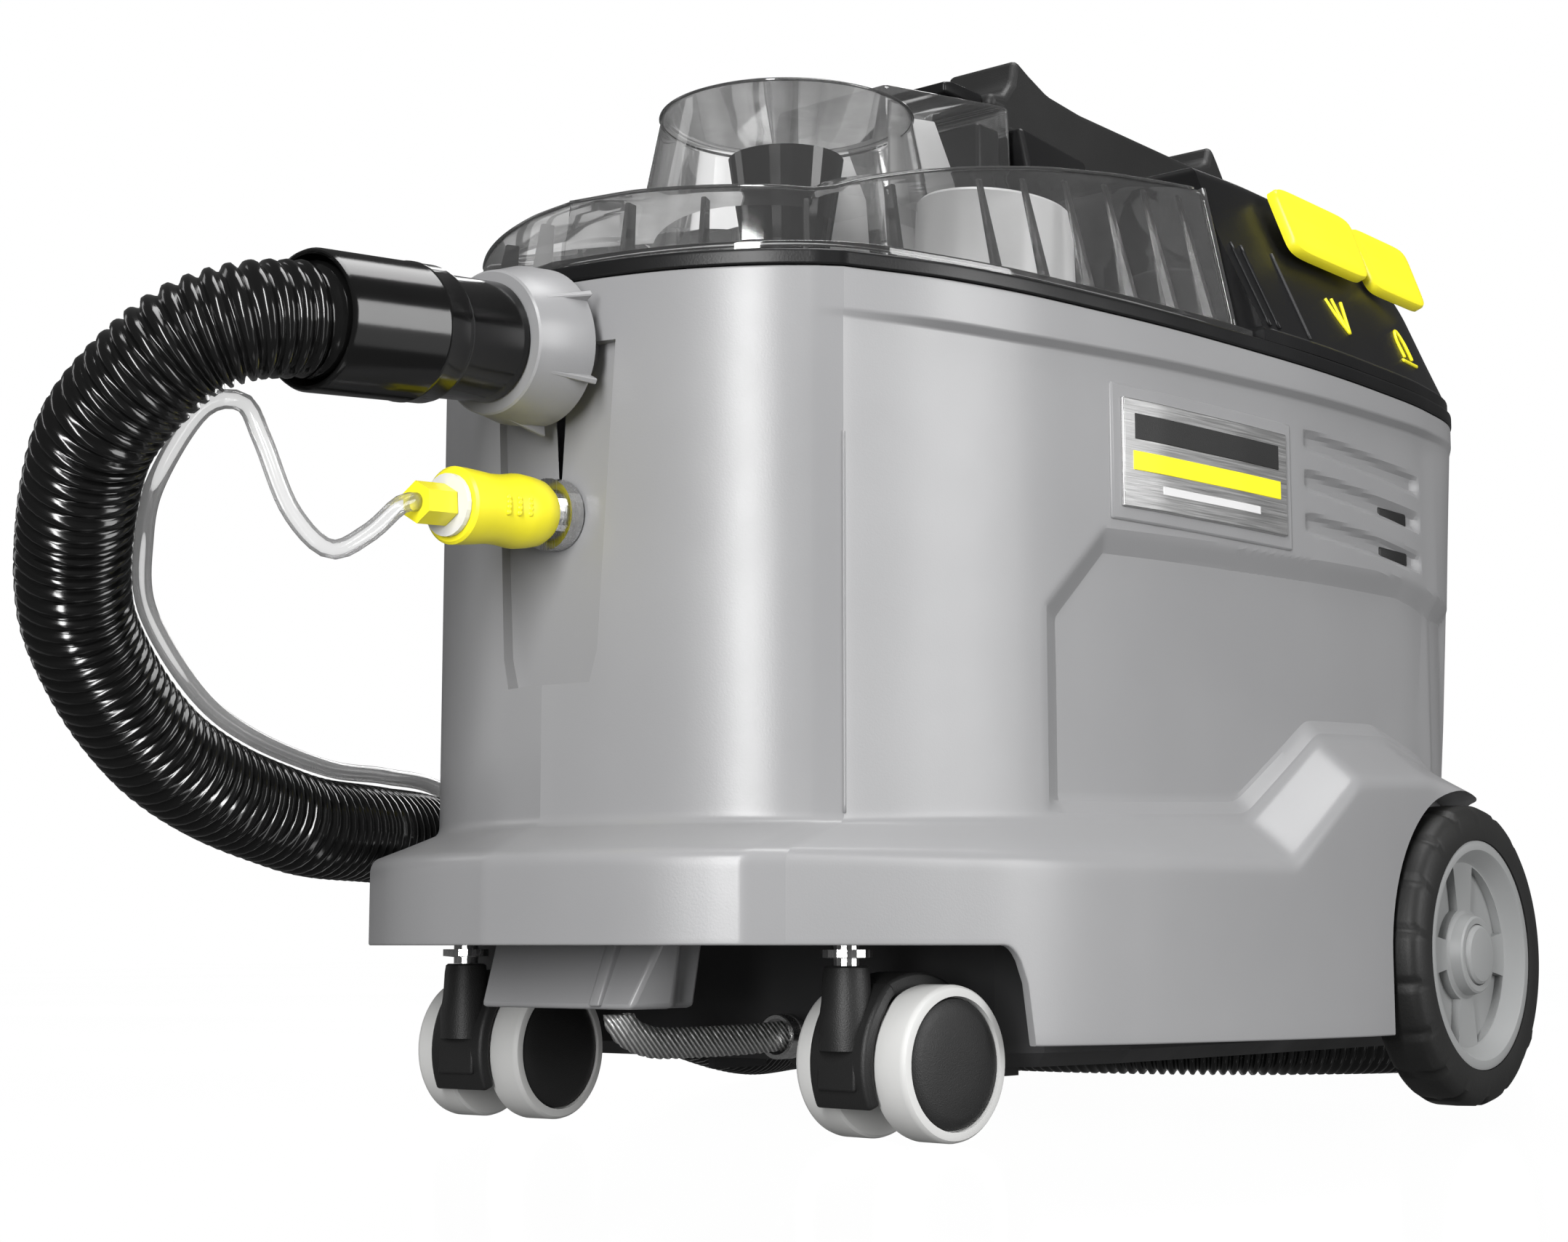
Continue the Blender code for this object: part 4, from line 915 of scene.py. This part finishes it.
def rocker_pad(name, y0, y1, foot, top, body, node):
    """A rounded switch pad with a shallow dish, lying on the head's shoulder."""
    (x0, z0), (x1, z1) = foot, top
    slope = np.array([x1 - x0, z1 - z0], float)
    run = np.linalg.norm(slope)
    slope /= run
    out = np.array([slope[1], -slope[0]])
    mid_y, half_y = (y0 + y1) / 2, (y1 - y0) / 2
    rings = []
    for depth, shrink in ((1.2, 0.2), (4.4, 0.2), (5.5, 0.8), (5.9, 2.0), (5.6, 6.0), (5.1, 12.0)):
        ring = []
        for k in range(64):
            a = 2 * math.pi * k / 64
            c, s = math.cos(a), math.sin(a)
            u = math.copysign(abs(c) ** 0.28, c) * (half_y - shrink)
            v = math.copysign(abs(s) ** 0.28, s) * (run / 2 - shrink)
            u *= 1 - 0.06 * (1 - (v + run / 2) / run)
            p = np.array([x0, z0]) + slope * (v + run / 2) + out * depth
            ring.append((p[0], mid_y + u, p[1]))
        rings.append(ring)
    pad = solid(name, rings)
    return link(pad, body, yellow_plastic, replaces=(node,), auto=40)


rocker_pad("switch_pad_spray", 212, 280, (128.6, 339), (118.0, 368.5), "spray_rocker", "switch_spray")
rocker_pad("switch_pad_suction", 286, 340, (125.6, 339), (114.2, 368.5), "suction_rocker", "switch_suction")


def on_shoulder(y, z, lift_by=0.5):
    """A point on the head's right side between its foot and its shoulder."""
    t = (z - 300.9) / (340 - 300.9)
    low = np.interp(y, [171.6, 205, 260, 308, 345], [141.2, 144, 145, 143, 136]) - 2.0
    mid = np.interp(y, [171.6, 207, 260, 305, 342], [121, 125, 126, 124, 117])
    return (low + (mid - low) * t + lift_by, y, z)


def stroke(name, path, width=0.8):
    points = [on_shoulder(y, z) for y, z in path]
    line, _ = catmull(points, 1.0)
    link(sweep(name, line, width, 8), "chassis", yellow_plastic)


stroke("mark_spray_a", [(238, 326), (242, 318), (247, 312)])
stroke("mark_spray_b", [(244, 327), (245, 318), (247, 312)])
stroke("mark_spray_c", [(252, 327), (249, 318), (247, 312)])
stroke("mark_suction_a", [(300, 312), (300, 320), (304, 325), (308, 320), (308, 312)])
stroke("mark_suction_b", [(296, 310), (312, 310)])


# The dark pillar beside the switches and its groove
pillar = []
for z in np.linspace(301.5, 339, 12):
    pillar.append(on_shoulder(206, z, 0.2))
link(sweep("head_groove", pillar, 0.7, 8), "chassis", dark_under)
for k, y in enumerate((178.0, 184.5)):
    line = [on_shoulder(y, z, 0.1) for z in np.linspace(302, 338, 12)]
    link(sweep(f"head_bead_{k}", line, 1.0, 8), "chassis", black_plastic)


# ---------------------------------------------------------------- badge
def side_x(y):
    return float(np.interp(y, [67, 106, 155, 205, 260], [128, 134.5, 140, 144, 145])) - 3.5


def side_panel(name, y0, y1, z0, z1, out0, out1, mat, width, replaces=(), steps=24):
    rings = []
    for y in np.linspace(y0, y1, steps):
        x = side_x(y)
        rings.append([(x + out0, y, z0), (x + out1, y, z0), (x + out1, y, z1), (x + out0, y, z1)])
    return link(bevel(solid(name, rings), width, 2, 50), "chassis", mat,
                replaces=replaces, auto=35)


side_panel("badge_surround", 80, 190, 215, 265, -1.0, 1.2, grey_plastic, 0.9)
side_panel("badge_skin", 85, 185, 220, 260, 0.8, 2.4, badge_metal, 0.5, ("badge_plate",))
side_panel("badge_stripe", 90, 180, 233.8, 240.8, 2.2, 2.75, yellow_plastic, 0.15)
side_panel("badge_bar", 91, 179, 245.2, 254.6, 2.2, 2.7, black_fine, 0.2)
side_panel("badge_line", 106, 166, 226.4, 229.4, 2.2, 2.65, white_plastic, 0.1)


# ---------------------------------------------------------------- port, cuff and coupling
def turned_piece(name, profile, at, turn, body, mat, replaces=(), steps=72, auto=32):
    return link(lathe(name, profile, steps, at, turn), body, mat, replaces=replaces, auto=auto)


collar = [(15.7, 25), (23.6, 25), (24.3, 24.4), (25.0, 20.6), (27.0, 12.6), (27.0, 1.6), (26.4, 1.2),
          (17.9, 1.2), (17.9, -9.5), (15.7, -9.5), (15.7, 25)]
turned_piece("port_collar", collar, PORT, front_turn(PORT_TILT), "chassis", grey_plastic,
             ("hose_port",))
cuff_line = [
    (15.7, 25.3), (19.6, 25.3), (20.3, 26.2), (20.3, 50.5), (20.9, 52.2), (22.2, 53.4), (22.6, 55.0),
    (22.6, 62.0), (22.9, 62.6), (22.9, 64.0), (22.6, 64.6), (22.6, 101.6), (22.0, 103.0), (21.4, 103.2),
    (20.6, 102.8), (20.6, 89.3), (15.7, 89.3), (15.7, 25.3),
]
turned_piece("cuff_skin", cuff_line, PORT, front_turn(PORT_TILT), "chassis", black_gloss, ("hose_cuff",))
port_turn = front_turn(PORT_TILT)
axis = port_turn @ Vector((0, 0, 1))
u, v = port_turn @ Vector((1, 0, 0)), port_turn @ Vector((0, 1, 0))
# The second fin is shorter, to clear the plate that slides past it with the lid
for k in range(6):
    a = 2 * math.pi * (k + 0.5) / 6
    r = u * math.cos(a) + v * math.sin(a)
    t = u * -math.sin(a) + v * math.cos(a)
    rows = []
    for height, half, inner, outer in ((1.4, 1.1, 26, 28 if k == 1 else 30.5), (19, 0.8, 24, 25.4)):
        mid = Vector(PORT) + axis * height
        rows.append([mid + r * inner + t * half, mid + r * inner - t * half,
                     mid + r * outer - t * half, mid + r * outer + t * half])
    link(bevel(solid(f"port_fin_{k}", rows), 0.4, 1), "chassis", grey_plastic, smooth=False)
body_line = [(0, 47.2), (12.0, 47.2), (12.9, 46.4), (12.8, 43), (12.3, 37), (11.7, 31), (11.9, 25),
             (12.6, 20.5), (12.7, 18), (12.2, 13), (11.5, 9), (9.9, 6.1), (9.3, 5.9), (0, 5.9)]
turned_piece("coupling_skin", body_line, SOCKET, front_turn(SOCKET_TILT), "chassis", yellow_plastic,
             ("coupling_body",))
axis = front_turn(SOCKET_TILT) @ Vector((0, 0, 1))
for k in range(4):
    a = math.radians(-12 + 8 * k)
    side_dir = Vector((math.cos(a), 0, math.sin(a)))
    for row, t in enumerate((22, 27, 32)):
        dot = lathe(f"grip_dot_{k}_{row}", [(0, 0.9), (0.6, 0.8), (1.1, 0.3), (1.2, -0.6), (0, -0.6)], 14,
                    Vector(SOCKET) + axis * t + side_dir * 11.9, axis_turn(side_dir))
        link(dot, "chassis", yellow_plastic)


# ---------------------------------------------------------------- casters
for (sign, label), yaw in zip(SIDES, (-5.6, 4.6)):
    turn_z = Matrix.Rotation(math.radians(yaw), 3, "Z")
    centre = turn_z @ Vector((0, 26, 25.6)) + Vector((sign * 89.4, -26, 0))
    for side, way in (("a", 1), ("b", -1)):
        axis = turn_z @ Vector((way, 0, 0))
        rot = axis_turn(axis)
        body = f"caster_{label}_wheel_{side}"
        tread = [(3.3, 9.2), (22.6, 9.2), (24.4, 9.5), (25.3, 10.3), (25.6, 11.4), (25.6, 22.4), (25.3, 23.6),
                 (24.6, 24.4), (23.7, 24.6), (21.9, 24.6), (21.9, 21.6), (3.3, 21.6), (3.3, 9.2)]
        turned_piece(f"caster_tread_{label}_{side}", tread, centre, rot, body, tread_rubber,
                     (f"caster_wheel_{label}_{side}",), 80)
        cap = [(0, 25.4), (9, 25.35), (17, 24.9), (19.8, 24.3), (21.0, 23.6), (21.5, 22.6), (21.5, 21.9),
               (0, 21.9)]
        turned_piece(f"caster_disc_{label}_{side}", cap, centre, rot, body, black_fine,
                     (f"caster_cap_{label}_{side}",), 64)


    # The hood: a rounded web between the wheels, a curved fender before them and a round neck above
    pivot = Matrix.Translation(pt((sign * 89.4, -26, 0)))
    turn4 = pivot @ turn_z.to_4x4() @ Matrix.Translation((0, -SHIFT * MM, 0))
    web = [(-5.5, 17)]
    web += [(26 + 31.2 * math.cos(a), 25.6 + 29.6 * math.sin(a)) for a in np.radians(np.linspace(178, 8, 30))]
    web += [(50, 25), (45, 14), (40, 14)]
    web += [(26 + 17 * math.cos(a), 25.6 + 13 * math.sin(a)) for a in np.radians(np.linspace(-40, -150, 8))]
    web_piece = prism(f"caster_web_{label}", web, "x", -8.6, 8.6)
    web_piece.matrix_world = turn4
    link(bevel(web_piece, 1.0, 2, 40), f"caster_{label}", black_fine,
         replaces=(f"caster_hood_{label}",), auto=35)
    fender = []
    for a in np.radians(np.linspace(208, 122, 22)):
        c, q = math.cos(a), math.sin(a)
        reach = 13.4 - 2.5 * max(0, (math.pi * 0.78 - a)) * 2
        (low_y, low_z), (top_y, top_z) = [(26 + r * c, 25.6 + r * q) for r in (27.2, 31.2)]
        fender.append([(-reach, low_y, low_z), (reach, low_y, low_z), (reach * 0.9, top_y, top_z),
                       (-reach * 0.9, top_y, top_z)])
    fender_piece = solid(f"caster_fender_{label}", fender)
    fender_piece.matrix_world = turn4
    link(bevel(fender_piece, 1.1, 3, 40), f"caster_{label}", black_fine, auto=50)
    neck_line = [(0, 57.2), (6.6, 57.2), (7.4, 56.6), (7.8, 54), (8.2, 46), (9.0, 40), (9.0, 30), (0, 30)]
    neck = lathe(f"caster_neck_{label}", neck_line, 48, (sign * 89.4, -26, 0))
    link(neck, f"caster_{label}", black_fine, auto=35)

# ---------------------------------------------------------------- rear wheels
for way, label in SIDES:
    rot = axis_turn((way, 0, 0))
    at = (0, AXLE_Y, AXLE_Z)
    profile = [(46, 145.6), (50, 145), (56, 145.9), (58.6, 147.6), (59.9, 150), (60.1, 157), (59.9, 164),
               (58.6, 166.6), (56, 168.1), (50, 169), (46, 168.4), (45.9, 157), (46, 145.6)]
    steps = 216
    points = []
    for j, (r, z) in enumerate(profile):
        for k in range(steps):
            a = 2 * math.pi * k / steps
            groove = 1.6 if (k % 12) in (0, 1) and r > 58 and (z < 153 or z > 161) else 0.0
            rr = r - groove
            points.append((rr * math.cos(a), rr * math.sin(a), z))
    mesh = bpy.data.meshes.new("tyre")
    mesh.from_pydata([tuple(c * MM for c in p) for p in points], [], grid_faces(len(profile), steps))
    tyre = facing_out(bpy.data.objects.new(f"tyre_skin_{label}", mesh), WELD)
    tyre.matrix_world = Matrix.Translation(pt(at)) @ rot.to_4x4()
    link(tyre, f"rear_wheel_{label}", tyre_rubber, replaces=(f"tyre_{label}",), auto=35)
    rim_line = [
        (45.7, 146), (45.7, 167.8), (44.6, 168.2), (42.0, 168.0), (41.2, 167.2), (38.2, 162), (37, 161),
        (17.6, 161), (16.4, 162), (15.4, 166), (14.6, 166.6), (12.3, 166.5), (12.3, 163.4), (5.3, 163.4),
        (5.3, 145.5), (14, 145.5), (14, 156), (39, 156), (39, 146), (45.7, 146),
    ]
    rim_piece = lathe(f"rim_skin_{label}", rim_line, 96, at, rot)
    for k in range(4):
        angle = math.radians(45 + 90 * k)
        fan = [math.radians(a) for a in np.linspace(-31, 31, 9)]
        sector = [(18.6 * math.cos(a * 0.86), 18.6 * math.sin(a * 0.86)) for a in fan]
        sector += [(36.4 * math.cos(a), 36.4 * math.sin(a)) for a in reversed(fan)]
        turned_sector = [(AXLE_Y + u * math.cos(angle) - v * math.sin(angle),
                          AXLE_Z + u * math.sin(angle) + v * math.cos(angle)) for u, v in sector]
        ends = sorted((way * 157.6, way * 165))
        pocket = prism("pocket", turned_sector, "x", *ends)
        cut(rim_piece, pocket)
    link(rim_piece, f"rear_wheel_{label}", rim_plastic, replaces=(f"wheel_rim_{label}",), auto=30)
    hub = [(0, 168.6), (8.6, 168.5), (10.6, 168.2), (11.7, 167.2), (12, 166), (12, 163.7), (0, 163.7)]
    turned_piece(f"hub_skin_{label}", hub, at, rot, f"rear_wheel_{label}", rim_plastic,
                 (f"hub_cap_{label}",), 48)

# ---------------------------------------------------------------- drain box and braided hose
sump_low = [(-35, -71), (35, -71), (35, -50), (29, -42), (29, -32), (-29, -32), (-29, -42), (-35, -50)]
sump_top = [(-40, -58), (40, -58), (40, -50), (32, -44), (32, -30), (-32, -30), (-32, -44), (-40, -50)]
sump = solid("sump_skin", [[(x, y, 43) for x, y in sump_low], [(x, y, 70) for x, y in sump_top],
                                             [(x, y, 107) for x, y in sump_top]])
link(bevel(sump, 2.0, 3, 25), "chassis", grey_plastic, replaces=("front_sump",), auto=35)
link(bevel(prism("sump_rib", [(-72.2, 44), (-60, 44), (-58, 66), (-63, 66)], "x", 17, 22), 0.8, 2),
     "chassis", grey_plastic)
braid_line, _ = catmull([(20, -60, 41.0), (20, -59.8, 39.6), (20, -57.5, 36.6), (20, -53, 34), (20, -46, 32),
                         (20, -36, 31), (20, 0, 31), (20, 30, 31.8), (20, 62, 32)], 1.0)
sides = 24
braid_obj = sweep("braid_skin", braid_line, 5.1, sides)
mesh = braid_obj.data
for v in mesh.vertices:
    row, col = divmod(v.index, sides)
    centre = Vector(pt(braid_line[row])) if row < len(braid_line) else v.co
    v.co = centre + (v.co - centre) * (1.0 + 0.05 * (1 if (row // 2 + col // 2) % 2 else -0.6))
link(braid_obj, "chassis", weave.mat, replaces=("braided_hose",))
clamp_line = [(6.4, 4.2), (7.6, 4.2), (8.0, 3.8), (8.0, 1.4), (7.6, 1.0), (7.6, -1.0), (8.0, -1.4),
              (8.0, -3.8), (7.6, -4.2), (6.4, -4.2), (6.4, 4.2)]
turned_piece("clamp_skin", clamp_line, (20, 26, 31.6),
             axis_turn((0, -1, 0)), "chassis", steel, ("hose_clamp",), 48)

# ---------------------------------------------------------------- finishes of the CAD nodes that show
FINISH = {
    "seal_band": black_plastic, "underbody_pan": dark_under, "front_sump": grey_plastic, "pump": dark_under,
    "braided_hose": weave.mat, "hose_clamp": steel, "cable_gland": black_fine, "dirty_tank": grey_plastic,
    "inlet_riser": dark_under, "motor_carrier": dark_under, "suction_turbine": motor_metal,
    "separator_plate": white_plastic, "standpipe": black_gloss, "float_cage": white_plastic,
    "float_ball": white_plastic, "spray_socket": steel, "coupling_ring": white_plastic,
    "coupling_nut": yellow_plastic, "spray_end_fitting": yellow_plastic, "hose_end_cuff": black_gloss,
    "rear_axle": steel,
}
for name, obj in nodes.items():
    mat = FINISH.get(name)
    if mat is None:
        if "stem" in name or "axle" in name:
            mat = steel
        elif "hood" in name:
            mat = black_fine
        else:
            mat = black_plastic
    obj.data.materials.clear()
    obj.data.materials.append(mat)
